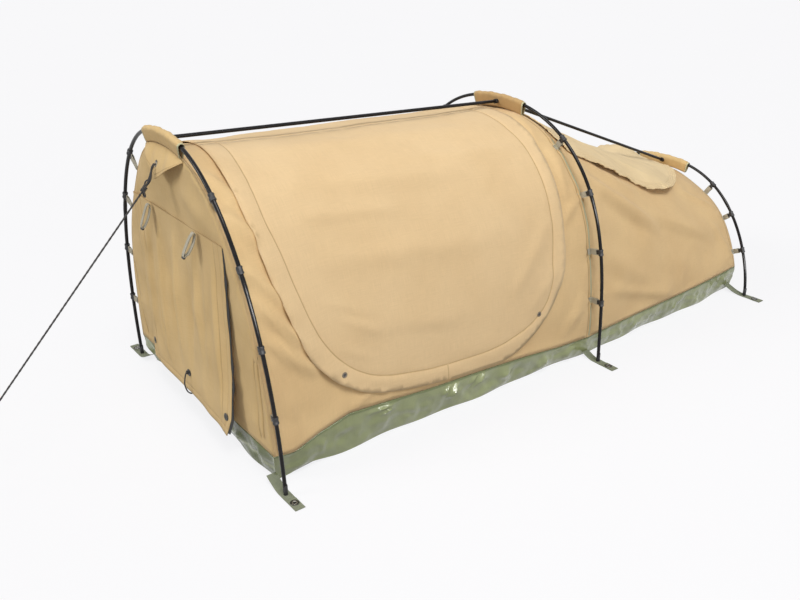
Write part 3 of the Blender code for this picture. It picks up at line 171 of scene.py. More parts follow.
def onCanvas(flat, lift=0.0):
    # Flat cloth places (metres along, metres of girth) on the pitched canvas, with its normals
    along, girth = flat[:, 0], flat[:, 1] / girthLength
    far = girth > 0.5
    half = np.where(far, 1 - girth, girth)
    head = readTable(headTable, along / headLength, half)
    foot = readTable(footTable, (along - headLength) / footLength, half)
    blend = clip01((along - headLength) / 0.012 * 0.5 + 0.5)[:, None]      # the middle seam's turn
    rows = np.where(along[:, None] < headLength, head, foot)
    rows[:, 3:] = head[:, 3:] * (1 - blend) + foot[:, 3:] * blend
    rows[:, [1, 4]] *= np.where(far, -1, 1)[:, None]
    rows[half > 0.498, 4] = 0.0
    normal = unit(rows[:, 3:])
    return rows[:, :3] + normal * np.reshape(lift, (-1, 1)), normal


def headFlat(shares):
    return np.array(shares) * [headLength, girthLength]


def footFlat(shares):
    return np.array(shares) * [footLength, girthLength] + [headLength, 0]


def onSide(flat, faces, side):      # the far side's cut is the near side's, mirrored over the ridge
    return (flat, faces) if side > 0 else (flat * [1, -1] + [0, girthLength], faces[:, ::-1])


def ripple(flat, seed, size, height, count=18):      # soft uneven waves, the same each time
    rng = np.random.RandomState(seed)
    total = np.zeros(len(flat))
    for _ in range(count):
        turn, phase = rng.uniform(0, 2 * math.pi, 2)
        pitch = size * rng.uniform(0.7, 1.6)
        reach = flat[:, 0] * math.cos(turn) + flat[:, 1] * math.sin(turn)
        total += np.sin(2 * math.pi * reach / pitch + phase)
    return height * total / math.sqrt(count / 2)


def creases(flat, rows):      # folds: start, end, half width, height and lean to one side
    total = np.zeros(len(flat))
    for u0, v0, u1, v1, width, height, lean in rows:
        run = np.array([u1 - u0, v1 - v0])
        long = np.linalg.norm(run)
        run /= long
        away = flat - np.array([u0, v0])
        d = (away[:, 0] * -run[1] + away[:, 1] * run[0]) / width
        ends = np.sin(math.pi * clip01(away @ run / long)) ** 0.8
        total += height * ends * np.exp(-d ** 2) * (1 + lean * d)
    return total


def nearLine(flat, line):      # distance of each place to a line, and how far along it that is
    best, where, start = np.full(len(flat), 1e9), np.zeros(len(flat)), 0.0
    for a, b in zip(line[:-1], line[1:]):
        run = b - a
        long = np.linalg.norm(run)
        if long < 1e-9:
            continue
        t = clip01((flat - a) @ run / long ** 2)
        d = np.linalg.norm(flat - a - t[:, None] * run, axis=1)
        where = np.where(d < best, start + t * long, where)
        best = np.minimum(d, best)
        start += long
    return best, where


def sew(lift, sewn, gap, depth, groove, strength, width):
    # A stitched line: a shallow groove in the cloth, and a darker line where the thread lies
    return lift - depth * hump(gap, groove), np.maximum(sewn, clip01(strength * (1 - gap / width)))


def inside(flat, outline):
    x, y = flat[:, 0], flat[:, 1]
    result = np.zeros(len(flat), bool)
    for (x0, y0), (x1, y1) in zip(outline, np.roll(outline, -1, axis=0)):
        if y0 != y1:
            result ^= ((y0 > y) != (y1 > y)) & (x < (x1 - x0) * (y - y0) / (y1 - y0) + x0)
    return result


def cutCloth(outline, step, holes=(), lines=(), lineWidth=0.002):
    # Points and triangles that fill a flat cut, with finer rows beside its seams
    points, edges = [], []

    def within(rows):
        keep = inside(rows, outline)
        for hole in holes:
            keep &= ~inside(rows, hole)
        return keep

    for chain in (outline, *holes):
        first, count = len(points), len(chain)
        points.extend(map(tuple, chain))
        edges.extend((first + k, first + (k + 1) % count) for k in range(count))
    for line in lines:
        run = unit(np.gradient(line, axis=0))
        left = np.stack([-run[:, 1], run[:, 0]], axis=1)
        for share in (-2.5, -1.0, 0.0, 1.0, 2.5):
            rows = line + left * lineWidth * share
            points.extend(map(tuple, rows[within(rows)]))
    tree = KDTree(len(points))
    for k, p in enumerate(points):
        tree.insert((p[0], p[1], 0.0), k)
    tree.balance()
    low, high = np.min(outline, axis=0), np.max(outline, axis=0)
    us = np.arange(low[0], high[0] + step, step)
    vs = np.arange(low[1], high[1] + step, step * 0.866)      # rows of even triangles
    grid = np.array([(u + (step / 2 if k % 2 else 0), v) for k, v in enumerate(vs) for u in us])
    points.extend(tuple(g) for g in grid[within(grid)] if tree.find((g[0], g[1], 0.0))[2] > 0.55 * step)
    verts, _, faces = delaunay_2d_cdt([Vector(p) for p in points], edges, [], 0, 1e-7)[:3]
    flat = np.array([tuple(v) for v in verts])
    faces = np.array([f for f in faces if len(f) == 3])
    faces = faces[within(flat[faces].mean(axis=1))]
    a, b, c = (flat[faces[:, k]] for k in range(3))
    area = (b[:, 0] - a[:, 0]) * (c[:, 1] - a[:, 1]) - (b[:, 1] - a[:, 1]) * (c[:, 0] - a[:, 0])
    faces, area = faces[np.abs(area) > 1e-10], area[np.abs(area) > 1e-10]
    faces[area < 0] = faces[area < 0][:, ::-1]
    return flat, faces


def linear(text):      # an sRGB hex colour as linear RGBA
    values = [int(text[k:k + 2], 16) / 255 for k in (1, 3, 5)]
    return (*[v / 12.92 if v <= 0.04045 else ((v + 0.055) / 1.055) ** 2.4 for v in values], 1.0)


def addNode(tree, kind, inputs=(), out=0, stops=(), **settings):      # one node, set and linked
    node = tree.nodes.new("ShaderNode" + kind)
    for key, value in settings.items():
        setattr(node, key, value)
    for key, value in inputs.items() if isinstance(inputs, dict) else enumerate(inputs):
        if isinstance(value, bpy.types.NodeSocket):
            tree.links.new(value, node.inputs[key])
        else:
            node.inputs[key].default_value = value
    for k, (place, color) in enumerate(stops):
        node.color_ramp.elements[k].position = place
        node.color_ramp.elements[k].color = linear(color)
    return node.outputs if out is None else node.outputs[out]


def newMaterial(name, **values):
    material = bpy.data.materials.new(name)
    material.use_nodes = True
    tree = material.node_tree
    shader = tree.nodes["Principled BSDF"].inputs
    for key, value in values.items():
        shader[key.replace("_", " ")].default_value = value
    return (material, tree, shader, addNode(tree, "TexCoord", out="Object"),
            addNode(tree, "UVMap", uv_map="cloth"))


def dress(tree, shader, reliefs, **links):      # links colour and gloss, and stacks the reliefs
    for key, value in links.items():
        tree.links.new(value, shader[key.replace("_", " ")])
    under = {}
    for height, strength, depth in reliefs:
        relief = {"Height": height, "Strength": strength, "Distance": depth, **under}
        under = {"Normal": addNode(tree, "Bump", relief)}
    for relief in under.values():
        tree.links.new(relief, shader["Normal"])


def weave(tree, uv, pitch):      # over-and-under threads at their real pitch
    waves = []
    for part in list(addNode(tree, "SeparateXYZ", (uv,), out=None))[:2]:
        turn = addNode(tree, "Math", (part, math.pi / pitch), operation="MULTIPLY")
        waves.append(addNode(tree, "Math", (turn,), operation="SINE"))
    across = addNode(tree, "Math", waves, operation="MULTIPLY")
    return addNode(tree, "Math", (across,), operation="ABSOLUTE")


# Woven cotton duck: 1.1 mm threads with slubs give a dry matt face, seams a darker line
def canvasMaterial(name, color, shade, seam, crumple=0.0011):
    material, tree, shader, place, uv = newMaterial(
        name, Roughness=0.86, Sheen_Weight=0.12, Sheen_Roughness=0.6, Specular_IOR_Level=0.22)
    blotch = addNode(tree, "TexNoise", {"Vector": place, "Scale": 5.0, "Detail": 4.0, "Roughness": 0.55})
    base = addNode(tree, "ValToRGB", (blotch,), stops=((0.30, shade), (0.62, color)))
    slubs = []
    for scale in ((22.0, 620.0, 1.0), (620.0, 22.0, 1.0)):      # thick threads 45 mm long, 1.6 mm wide
        spot = addNode(tree, "Mapping", {"Vector": uv, "Scale": scale})
        slubs.append(addNode(tree, "TexNoise", {"Vector": spot, "Scale": 1.0, "Detail": 2.0,
                                                "Roughness": 0.55}))
    grain = addNode(tree, "Math", slubs, operation="ADD")
    grain = addNode(tree, "Math", (grain, 0.16, 0.84), operation="MULTIPLY_ADD")
    base = addNode(tree, "Mix", {0: 1.0, 6: base, 7: grain}, 2, data_type="RGBA", blend_type="MULTIPLY")
    sewn = addNode(tree, "Attribute", out="Fac", attribute_name="seam")
    base = addNode(tree, "Mix", {0: sewn, 6: base, 7: linear(seam)}, 2, data_type="RGBA")
    threads = addNode(tree, "Math", (grain, 0.5, weave(tree, uv, 0.0011)), operation="MULTIPLY_ADD")
    spot = addNode(tree, "Mapping", {"Vector": place, "Scale": (1.0, 1.4, 0.7)})
    soft = addNode(tree, "TexNoise", {"Vector": spot, "Scale": 16.0, "Detail": 4.0, "Roughness": 0.6})
    dress(tree, shader, ((threads, 0.35, 0.00025), (soft, 1.0, crumple)), Base_Color=base)
    return material


# PVC-coated polyester: a satin film over a 1.4 mm scrim, whose crinkles catch the light
def pvcMaterial():
    material, tree, shader, place, uv = newMaterial("sage_coated_fabric")
    tone = addNode(tree, "TexNoise", {"Vector": place, "Scale": 7.0, "Detail": 4.0, "Roughness": 0.55})
    base = addNode(tree, "ValToRGB", (tone,), stops=((0.3, "#8A9366"), (0.7, "#A0A97A")))
    # the seam attribute darkens towards #56603F and dulls the gloss: stitched top rows, and painted shade at
    # the tub's head end
    sewn = addNode(tree, "Attribute", out="Fac", attribute_name="seam")
    base = addNode(tree, "Mix", {0: sewn, 6: base, 7: linear("#56603F")}, 2, data_type="RGBA")
    gloss = addNode(tree, "Math", (sewn, -0.62, 0.70), operation="MULTIPLY_ADD")
    worn = addNode(tree, "TexNoise", {"Vector": place, "Scale": 30.0, "Detail": 3.0, "Roughness": 0.55})
    rough = addNode(tree, "Math", (worn, 0.14, 0.10), operation="MULTIPLY_ADD")
    spot = addNode(tree, "Mapping", {"Vector": place, "Scale": (1.0, 1.0, 0.6)})
    folds = addNode(tree, "TexNoise", {"Vector": spot, "Scale": 22.0, "Detail": 4.0, "Roughness": 0.55})
    dress(tree, shader, ((weave(tree, uv, 0.0014), 0.25, 0.00015), (folds, 1.0, 0.0030)),
          Base_Color=base, Roughness=rough, Specular_IOR_Level=gloss)
    return material


# Black anodised aluminium tube: satin streaks along the drawn wall, rubbed a little brown
def tubeMaterial():
    material, tree, shader, place, _ = newMaterial("black_anodised_tube", Specular_IOR_Level=0.24)
    rub = addNode(tree, "TexNoise", {"Vector": place, "Scale": 38.0, "Detail": 5.0, "Roughness": 0.7})
    base = addNode(tree, "ValToRGB", (rub,), stops=((0.45, "#09080A"), (0.75, "#231D1E")))
    spot = addNode(tree, "Mapping", {"Vector": place, "Scale": (90.0, 90.0, 14.0)})
    streak = addNode(tree, "TexNoise", {"Vector": spot, "Scale": 6.0, "Detail": 2.0, "Roughness": 0.55})
    rough = addNode(tree, "Math", (streak, 0.14, 0.10), operation="MULTIPLY_ADD")
    dress(tree, shader, ((streak, 0.12, 0.0002),), Base_Color=base, Roughness=rough)
    return material


# Moulded nylon: a 1 mm spark grain, drawn coarser than real, slightly greyed on the high places
def nylonMaterial():
    material, tree, shader, place, _ = newMaterial("black_moulded_nylon", Roughness=0.5)
    tone = addNode(tree, "TexNoise", {"Vector": place, "Scale": 60.0, "Detail": 3.0, "Roughness": 0.55})
    base = addNode(tree, "ValToRGB", (tone,), stops=((0.35, "#17171A"), (0.7, "#29292C")))
    grain = addNode(tree, "TexNoise", {"Vector": place, "Scale": 900.0, "Detail": 2.0, "Roughness": 0.55})
    dress(tree, shader, ((grain, 0.3, 0.0002),), Base_Color=base)
    return material


# Woven polypropylene webbing: a coarse rib 2 mm apart with a dull sheen
def webMaterial(name, light, dark):
    material, tree, shader, place, uv = newMaterial(name, Roughness=0.82, Sheen_Weight=0.1)
    ribs = weave(tree, uv, 0.0020)
    base = addNode(tree, "ValToRGB", (ribs,), stops=((0.0, dark), (0.7, light)))
    tone = addNode(tree, "TexNoise", {"Vector": place, "Scale": 45.0, "Detail": 3.0, "Roughness": 0.55})
    tone = addNode(tree, "Math", (tone, 0.3, 0.82), operation="MULTIPLY_ADD")
    base = addNode(tree, "Mix", {0: 1.0, 6: base, 7: tone}, 2, data_type="RGBA", blend_type="MULTIPLY")
    dress(tree, shader, ((ribs, 0.6, 0.0004),), Base_Color=base)
    return material


# Knitted polyester net: dark threads 1.2 mm apart that let some light through
def netMaterial():
    material, tree, shader, _, uv = newMaterial("dark_insect_net", Roughness=0.7, Alpha=0.82)
    ribs = weave(tree, uv, 0.0012)
    base = addNode(tree, "ValToRGB", (ribs,), stops=((0.0, "#0E0E0E"), (0.8, "#2A2926")))
    dress(tree, shader, ((ribs, 0.5, 0.0003),), Base_Color=base)
    return material


# Braided polyester rope: 1.6 mm strands, dark with a brown-grey fleck
def ropeMaterial():
    material, tree, shader, place, uv = newMaterial("black_braided_rope", Roughness=0.68,
                                                    Sheen_Weight=0.15)
    braid = weave(tree, uv, 0.0016)
    base = addNode(tree, "ValToRGB", (braid,), stops=((0.1, "#0C0B0B"), (0.85, "#2E2A28")))
    fleck = addNode(tree, "TexNoise", {"Vector": place, "Scale": 260.0, "Detail": 2.0, "Roughness": 0.55})
    fleck = addNode(tree, "ValToRGB", (fleck,), stops=((0.62, "#000000"), (0.72, "#FFFFFF")))
    base = addNode(tree, "Mix", {0: fleck, 6: base, 7: linear("#4A423B")}, 2, data_type="RGBA")
    dress(tree, shader, ((braid, 0.8, 0.0005),), Base_Color=base)
    return material


# Pressed brass eyelet, plated or blackened: scuffed by fine noise, dull in its rim
def eyeletMaterial(name, color, roughness, metallic):
    material, tree, shader, place, _ = newMaterial(name, Metallic=metallic)
    scratch = addNode(tree, "TexNoise", {"Vector": place, "Scale": 420.0, "Detail": 3.0,
                                         "Roughness": 0.55})
    base = addNode(tree, "ValToRGB", (scratch,), stops=((0.3, color), (0.8, "#8E8C86")))
    base = addNode(tree, "Mix", {0: 0.35, 6: linear(color), 7: base}, 2, data_type="RGBA")
    rough = addNode(tree, "Math", (scratch, 0.2, roughness), operation="MULTIPLY_ADD")
    dress(tree, shader, (), Base_Color=base, Roughness=rough)
    return material


litVentCanvas = canvasMaterial("tan_cotton_vent_painted_light", "#E6CFA4", "#DFC79B", "#9A7B50")      # paler: painted light on the vent flaps, which face up to the light
shadedSleeveCanvas = canvasMaterial("tan_cotton_sleeve_painted_shade", "#C7A878", "#BA9967", "#8F7048")      # darker: painted shade on the middle sleeve, whose face is turned from the light
tanCanvas = canvasMaterial("tan_cotton_duck", "#DCBE8E", "#D6B686", "#A58457")      # warm lit shell
flapCanvas = canvasMaterial("tan_cotton_flap", "#DFC398", "#DBBE92", "#A88759")      # a touch paler
shadedWallCanvas = canvasMaterial("tan_cotton_wall_painted_shade", "#D9BC88", "#CFB17C", "#9A7A50", 0.0018)      # creased more; darker and yellower than the shell: painted shade of the end walls, also used on the window flap, hood and end sleeves
pvc, alloy, nylon, net, rope = (pvcMaterial(), tubeMaterial(), nylonMaterial(), netMaterial(),
                                ropeMaterial())
webbing = webMaterial("stone_webbing", "#C3BEAD", "#8F8A7B")      # pole straps, tie loops
sageWeb = webMaterial("sage_webbing", "#8E947F", "#656B55")      # ground tabs
seamTape = webMaterial("sage_binding_tape", "#CFCBA6", "#B3AF8B")      # bound seam at the hoop
zipTape = webMaterial("black_zip_tape", "#1C1B19", "#0B0A0A")      # dark line at the flap's edge
coverCloth = webMaterial("grey_brown_cover", "#9B9078", "#7C725E")      # mattress ticking
blackRing = eyeletMaterial("blackened_eyelet", "#26241F", 0.3, 0.7)
brightRing = eyeletMaterial("nickel_eyelet", "#8F8D86", 0.34, 1.0)
agedRing = eyeletMaterial("aged_eyelet", "#6E604E", 0.42, 0.6)
stageNote("materials")


def gridFaces(rows, columns, wrapRows=False, wrapColumns=False, turned=False):
    faces = []
    for i in range(rows - (not wrapRows)):
        a, b = i * columns, (i + 1) % rows * columns
        for j in range(columns - (not wrapColumns)):
            right = (j + 1) % columns
            quad = (a + j, a + right, b + right, b + j)
            faces.append(quad[:1] + quad[:0:-1] if turned else quad)
    return faces


def addMesh(name, points, faces, materials, uv=None, seam=None, indices=None):
    mesh = bpy.data.meshes.new(name)
    mesh.from_pydata([tuple(p) for p in points], [], [tuple(map(int, f)) for f in faces])
    mesh.validate()
    for material in materials:
        mesh.materials.append(material)
    if indices is not None:
        mesh.polygons.foreach_set("material_index", np.asarray(indices, np.int32))
    corners = np.empty(len(mesh.loops), np.int32)
    mesh.loops.foreach_get("vertex_index", corners)
    uv = np.asarray(points, float)[:, :2] if uv is None else uv
    mesh.uv_layers.new(name="cloth").data.foreach_set("uv", np.asarray(uv, np.float32)[corners].ravel())
    values = np.zeros(len(mesh.vertices)) if seam is None else seam
    mesh.attributes.new("seam", "FLOAT", "POINT").data.foreach_set("value", np.asarray(values, np.float32))
    mesh.shade_smooth()
    made = bpy.data.objects.new(name, mesh)
    scene.collection.objects.link(made)
    return made


def thicken(made, thickness, offset):
    shell = made.modifiers.new("cloth thickness", "SOLIDIFY")
    shell.thickness, shell.offset = thickness, offset


def tell(made, node, body=None):      # hides the CAD node, and attaches the piece to a body if one is given
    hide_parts(node)
    if body:
        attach(made, body)


def turnTo(made, index, way):      # turns a cloth whose outer side looks the wrong way
    if made.data.polygons[index].normal @ Vector(way) < 0:
        made.data.flip_normals()


def faceOut(made, gap, pick, sign):      # joins the edges of a closed shape and turns it outward
    work = bmesh.new()
    work.from_mesh(made.data)
    if gap:
        bmesh.ops.remove_doubles(work, verts=work.verts, dist=gap)
    bmesh.ops.recalc_face_normals(work, faces=work.faces)
    if max(work.faces, key=pick).normal.z * sign < 0:
        bmesh.ops.reverse_faces(work, faces=work.faces)
    work.to_mesh(made.data)
    work.free()


class Parts:      # collects shapes of several materials into one piece
    def __init__(self, *materials):
        self.materials = list(materials)
        self.points, self.faces, self.uv, self.slots = [], [], [], []

    def add(self, points, faces, material, uv):
        first = len(self.points)
        self.points.extend(map(tuple, np.asarray(points, float)))
        self.faces.extend([tuple(int(i) + first for i in f) for f in faces])
        self.uv.extend(map(tuple, uv))
        self.slots.extend([self.materials.index(material)] * len(faces))

    def addBar(self, points, count, columns, material, uv):      # rings of points with two end caps
        faces = gridFaces(count, columns, wrapColumns=True)
        faces.append(tuple(range(columns))[::-1])
        faces.append(tuple((count - 1) * columns + j for j in range(columns)))
        self.add(points, faces, material, uv)

    def tube(self, path, radius, material, sides=12, closed=False):      # a round bar along a path
        path = np.asarray(path, float)
        count = len(path)
        around = np.roll(path, -1, axis=0) - np.roll(path, 1, axis=0)
        run = unit(around if closed else np.gradient(path, axis=0))
        radii = np.broadcast_to(np.reshape(radius, (-1, 1)) if np.ndim(radius) == 1 else radius,
                                (count, sides))
        side = np.cross(run[0], (0.0, 0.0, 1.0))
        if np.linalg.norm(side) < 0.1:
            side = np.cross(run[0], (0.0, 1.0, 0.0))
        points, uv = [], []
        for k, reach in enumerate(reachOf(path)):
            side = unit(side - run[k] * (side @ run[k]))
            up = np.cross(side, run[k])
            for j in range(sides):
                turn = 2 * math.pi * j / sides
                points.append(path[k] + radii[k, j] * (side * math.cos(turn) + up * math.sin(turn)))
                uv.append((reach, radii[k, j] * turn))
        if closed:
            self.add(points, gridFaces(count, sides, True, True), material, uv)
        else:
            self.addBar(points, count, sides, material, uv)

    def ribbon(self, path, across, width, thickness, material):
        # A flat strap along a path; across is its width's direction at each point
        path = np.asarray(path, float)
        across = np.broadcast_to(np.asarray(across, float), path.shape)
        out = unit(np.cross(across, np.gradient(path, axis=0)))
        across = unit(across)
        width = np.broadcast_to(width, len(path))[:, None]
        shape = ((-0.5, -0.5), (-0.25, -0.5), (0.25, -0.5), (0.5, -0.5), (0.5, 0.5), (0.25, 0.5),
                 (-0.25, 0.5), (-0.5, 0.5))
        rows = [path + across * width * a + out * thickness * b for a, b in shape]
        uv = [(s, a * w) for s, w in zip(reachOf(path), width[:, 0]) for a, _ in shape]
        self.addBar(np.stack(rows, axis=1).reshape(-1, 3), len(path), len(shape), material, uv)

    def lathe(self, start, end, profile, material, sides=24):
        # A turned shape from start to end; the profile gives shares of its length and radii
        start, end = np.asarray(start, float), np.asarray(end, float)
        turn = Vector(end - start).normalized().to_track_quat("Z", "Y").to_matrix()
        points, uv = [], []
        for share, radius in profile:
            for j in range(sides):
                a = 2 * math.pi * j / sides
                out = turn @ Vector((radius * math.cos(a), radius * math.sin(a), 0))
                points.append(tuple(Vector(start + (end - start) * share) + out))
                uv.append((share * np.linalg.norm(end - start), radius * a))
        self.addBar(points, len(profile), sides, material, uv)

    def ring(self, centre, axis, radius, thick, material, flatness=1.0, count=28, sides=8):
        # An eyelet's or collar's ring; flatness squeezes it along its axis
        turn = Vector(axis).normalized().to_track_quat("Z", "Y").to_matrix()
        points, uv = [], []
        for k in range(count):
            a = 2 * math.pi * k / count
            for j in range(sides):
                b = 2 * math.pi * j / sides
                r = radius + thick * math.cos(b)
                local = Vector((r * math.cos(a), r * math.sin(a), thick * flatness * math.sin(b)))
                points.append(tuple(Vector(centre) + turn @ local))
                uv.append((radius * a, thick * b))
        self.add(points, gridFaces(count, sides, True, True, turned=True), material, uv)

    def eyelet(self, centre, out, rim, hole, material):
        # A pressed ring, with a black disc in it that stands for the hole through the cloth: painted shade
        centre, out = np.asarray(centre, float), np.asarray(out, float)
        self.ring(centre + out * 0.0008, out, (rim + hole) / 2, (rim - hole) / 2, material, 0.45)
        self.lathe(centre + out * 0.0002, centre + out * 0.0009,
                   ((0.0, hole * 1.02), (1.0, hole * 1.02)), nylon, 20)

    def make(self, name, body, slot, *nodes):
        made = addMesh(name, self.points, self.faces, self.materials, np.array(self.uv),
                       indices=self.slots)
        made.data.set_sharp_from_angle(angle=math.radians(40))
        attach(made, body)
        if nodes:
            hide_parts(*nodes)
        return made


camera = bpy.data.objects.new("camera", bpy.data.cameras.new("camera"))
scene.collection.objects.link(camera)
camera.location = (-1.899, -2.110, 1.386)
camera.rotation_euler = (math.radians(65.45), 0.0, math.radians(-37.11))
camera.data.sensor_width, camera.data.lens, camera.data.clip_end = 36.0, 38.03, 200.0
scene.camera = camera
studio = {"key": (1.0, 0.985, 0.955), "front": (1.0, 0.985, 0.96), "white": (1.0, 1.0, 1.0),
          "pale": "#F8F8FA", "floorSize": 60.0}


def addLight(name, kind, energy, color, place, aim=(0, 0, 0), **settings):
    light = bpy.data.lights.new(name, kind)
    light.energy, light.color = energy, studio[color]
    for key, value in settings.items():
        setattr(light, key, value)
    made = bpy.data.objects.new(name, light)
    scene.collection.objects.link(made)
    made.rotation_euler = (Vector(place) - Vector(aim)).to_track_quat("Z", "Y").to_euler()
    if kind == "AREA":
        light.shape = "RECTANGLE"
        made.location = place
        made.visible_camera = False
    return made


addLight("soft_key", "SUN", 1.45, "key", (-0.16, -0.48, 0.86), angle=math.radians(24))
addLight("key_softbox", "AREA", 21.0, "key", (-1.15, -1.75, 3.30), (-0.2, 0.0, 0.4), size=1.5, size_y=1.2)
addLight("front_panel", "AREA", 52.0, "front", (-1.0, -5.4, 1.55), (0.0, 0.0, 0.4), size=6.5, size_y=0.9)
addLight("left_fill", "SUN", 1.10, "key", (-0.80, 0.30, 0.52), angle=math.radians(22))
glint = addLight("gloss_panel", "AREA", 360.0, "white", (-1.4, -5.6, 1.6), (0.0, 0.0, 0.4),
                 size=6.5, size_y=0.9)
glint.visible_diffuse = False      # only draws the thin highlights on poles and coated cloth


def seenDirectly(tree):      # 1 for what the camera, a gloss or a clear piece sees straight
    path = addNode(tree, "LightPath", out=None)
    seen = addNode(tree, "Math", (path["Is Camera Ray"], path["Is Glossy Ray"]), operation="MAXIMUM")
    return addNode(tree, "Math", (seen, path["Is Transmission Ray"]), operation="MAXIMUM")


def paleWorld():      # an even pale sky, near white where it is seen
    world = bpy.data.worlds.new("pale_studio")
    world.use_nodes = True
    scene.world = world
    tree = world.node_tree
    tree.nodes.clear()
    light = addNode(tree, "Background", {"Color": (1.0, 0.965, 0.91, 1.0), "Strength": 0.33})
    pale = addNode(tree, "Background", {"Color": linear(studio["pale"]), "Strength": 1.047})
    both = addNode(tree, "MixShader", (seenDirectly(tree), light, pale))
    addNode(tree, "OutputWorld", (both,), out=None)


def addFloor():      # a plain pale floor, which keeps a soft shadow under the swag
    material = bpy.data.materials.new("pale_floor")
    material.use_nodes = True
    tree = material.node_tree
    tree.nodes.clear()
    place = addNode(tree, "TexCoord", out="Object")
    tone = addNode(tree, "TexNoise", {"Vector": place, "Scale": 0.8, "Detail": 2.0, "Roughness": 0.55})
    tone = addNode(tree, "ValToRGB", (tone,), stops=((0.2, "#F4F4F6"), (0.8, "#F7F7F9")))
    glow = addNode(tree, "Emission", {"Color": linear(studio["pale"]), "Strength": 1.02})
    seen = seenDirectly(tree)
    share = addNode(tree, "Math", (seen, 0.85), operation="MULTIPLY")
    bounce = linear("#9A9792")      # a calmer bounce under the swag
    tone = addNode(tree, "Mix", {0: seen, 6: bounce, 7: tone}, 2, data_type="RGBA")
    diffuse = addNode(tree, "BsdfDiffuse", {"Color": tone})
    addNode(tree, "OutputMaterial", (addNode(tree, "MixShader", (share, diffuse, glow)),), out=None)
    size = studio["floorSize"]
    corners = [(-size, -size, 0), (size, -size, 0), (size, size, 0), (-size, size, 0)]
    floor = addMesh("floor", corners, [(0, 1, 2, 3)], [material])
    floor.location.z = -0.0006


paleWorld()
addFloor()
stageNote("camera, light and floor")


def wallAxes(hoop, outward):      # across, up and out of an end wall; outward is -1 at the head
    up = Vector((hoop["tilt"] / hoop["height"], 0.0, 1.0)).normalized()
    across = Vector((0.0, 1.0, 0.0))
    out = across.cross(up)
    if out.x * outward < 0:
        out.negate()
    return across, up, out


def wallMatrix(hoop, outward):      # puts an outline (across, up, out) on an end wall
    turn = Matrix(wallAxes(hoop, outward)).transposed().to_4x4()
    return Matrix.Translation(Vector((hoop["x"], 0.0, 0.0))) @ turn


headWall = wallMatrix(hoops["head"], -1)
footWall = wallMatrix(hoops["foot"], 1)
hood = {"half": 0.120, "tip": 0.752, "out": 0.030, "swell": 0.024, "eyeletFall": 0.56,
        "columns": 61, "rows": 30}
guy = {"radius": 0.0025, "step": 0.0022, "sides": 14, "strandPitch": 0.017, "pegReach": 0.722,
       "loopRadius": 0.024, "turns": 3.25, "turnRadius": 0.0049}


def hoodPoint(share, fall, out=0.0):
    # A point on the hood: share across from -1 to 1, fall from its seam to its hem
    roof = hoopHalf(hoops["head"], sideGap, hoops["head"]["drop"])
    across, up, forward = wallAxes(hoops["head"], -1)

    def wall(y, z, depth):
        return Vector((hoops["head"]["x"], 0, 0)) + across * y + up * z + forward * depth

    y = hood["half"] * share
    top = wall(y, float(np.interp(-abs(y), roof[:, 1], roof[:, 2])), 0.0003)
    sideZ = float(np.interp(-hood["half"], roof[:, 1], roof[:, 2])) - 0.003
    side = wall(math.copysign(hood["half"], share), sideZ, 0.0003)
    tip = wall(0.0, hood["tip"], hood["out"])
    low = tip.lerp(side, abs(share)) + forward * (0.012 * math.sin(math.pi * abs(share) ** 1.3))
    swell = hood["swell"] * fall * (1 - fall) * (1 - share ** 2)
    return top.lerp(low, fall) - Vector((swell, 0, 0)) + forward * out


def hoodEyelet():
    fall = hood["eyeletFall"]
    down = hoodPoint(0.0, fall + 0.01) - hoodPoint(0.0, fall - 0.01)
    out = down.cross(Vector((0.0, 1.0, 0.0))).normalized()
    if out.x > 0:
        out.negate()
    return hoodPoint(0.0, fall) + out * 0.002, out


def ropeRoute():      # the CAD cord's own points, from the hood's eyelet to the peg loop
    eyelet, out = hoodEyelet()
    knot = eyelet + Vector((-0.0365, 0.0, -0.053))
    ground = Vector((eyelet.x - guy["pegReach"], 0.0, 0.0))
    slope = (ground - knot).normalized()
    bend = ground - slope * 0.060
    lie = Vector((-1.0, 0.0, 0.0))
    down = Vector((ground.x - 0.0035, 0.0, 0.0035))
    start = eyelet - out * 0.008
    route = [start, eyelet + out * 0.009, knot - slope * 0.006, knot + slope * 0.027]
    route += [knot.lerp(bend, k / 10) for k in range(1, 10)]
    route += [bend, bend.lerp(down + lie * 0.0035, 0.6), down + lie * 0.020, down + lie * 0.040]
    points = [route[0]]
    for before, corner, after in zip(route, route[1:], route[2:]):      # rounds every bend
        back, ahead = before - corner, after - corner
        short = min(0.015, back.length / 3, ahead.length / 3)
        first = corner + back.normalized() * short
        last = corner + ahead.normalized() * short
        points += [first, (first + last + corner * 2) / 4, last]
    return points + [route[-1]], knot, slope, down + lie * 0.040, start


def buildRope():
    route, knot, slope, end, start = ropeRoute()
    path = evenly(np.array([tuple(p) for p in route]), guy["step"])
    reach = np.arange(len(path))[:, None] * guy["step"]
    turn = 2 * math.pi * np.arange(guy["sides"]) / guy["sides"]
    strand = 1 + 0.10 * np.cos(2 * turn - 2 * math.pi * reach / guy["strandPitch"])
    parts = Parts(rope)
    parts.tube(path, guy["radius"] * strand * 0.97, rope, guy["sides"])
    parts.uv = [(along, guy["radius"] * a) for along in reach[:, 0] for a in turn]      # an even braid
    braid = parts.make("guy_rope_braid", "shelter", "black_rope", "guy_rope")
    knotPiece, loop = buildKnot(knot, slope), buildPegLoop(np.array(end))


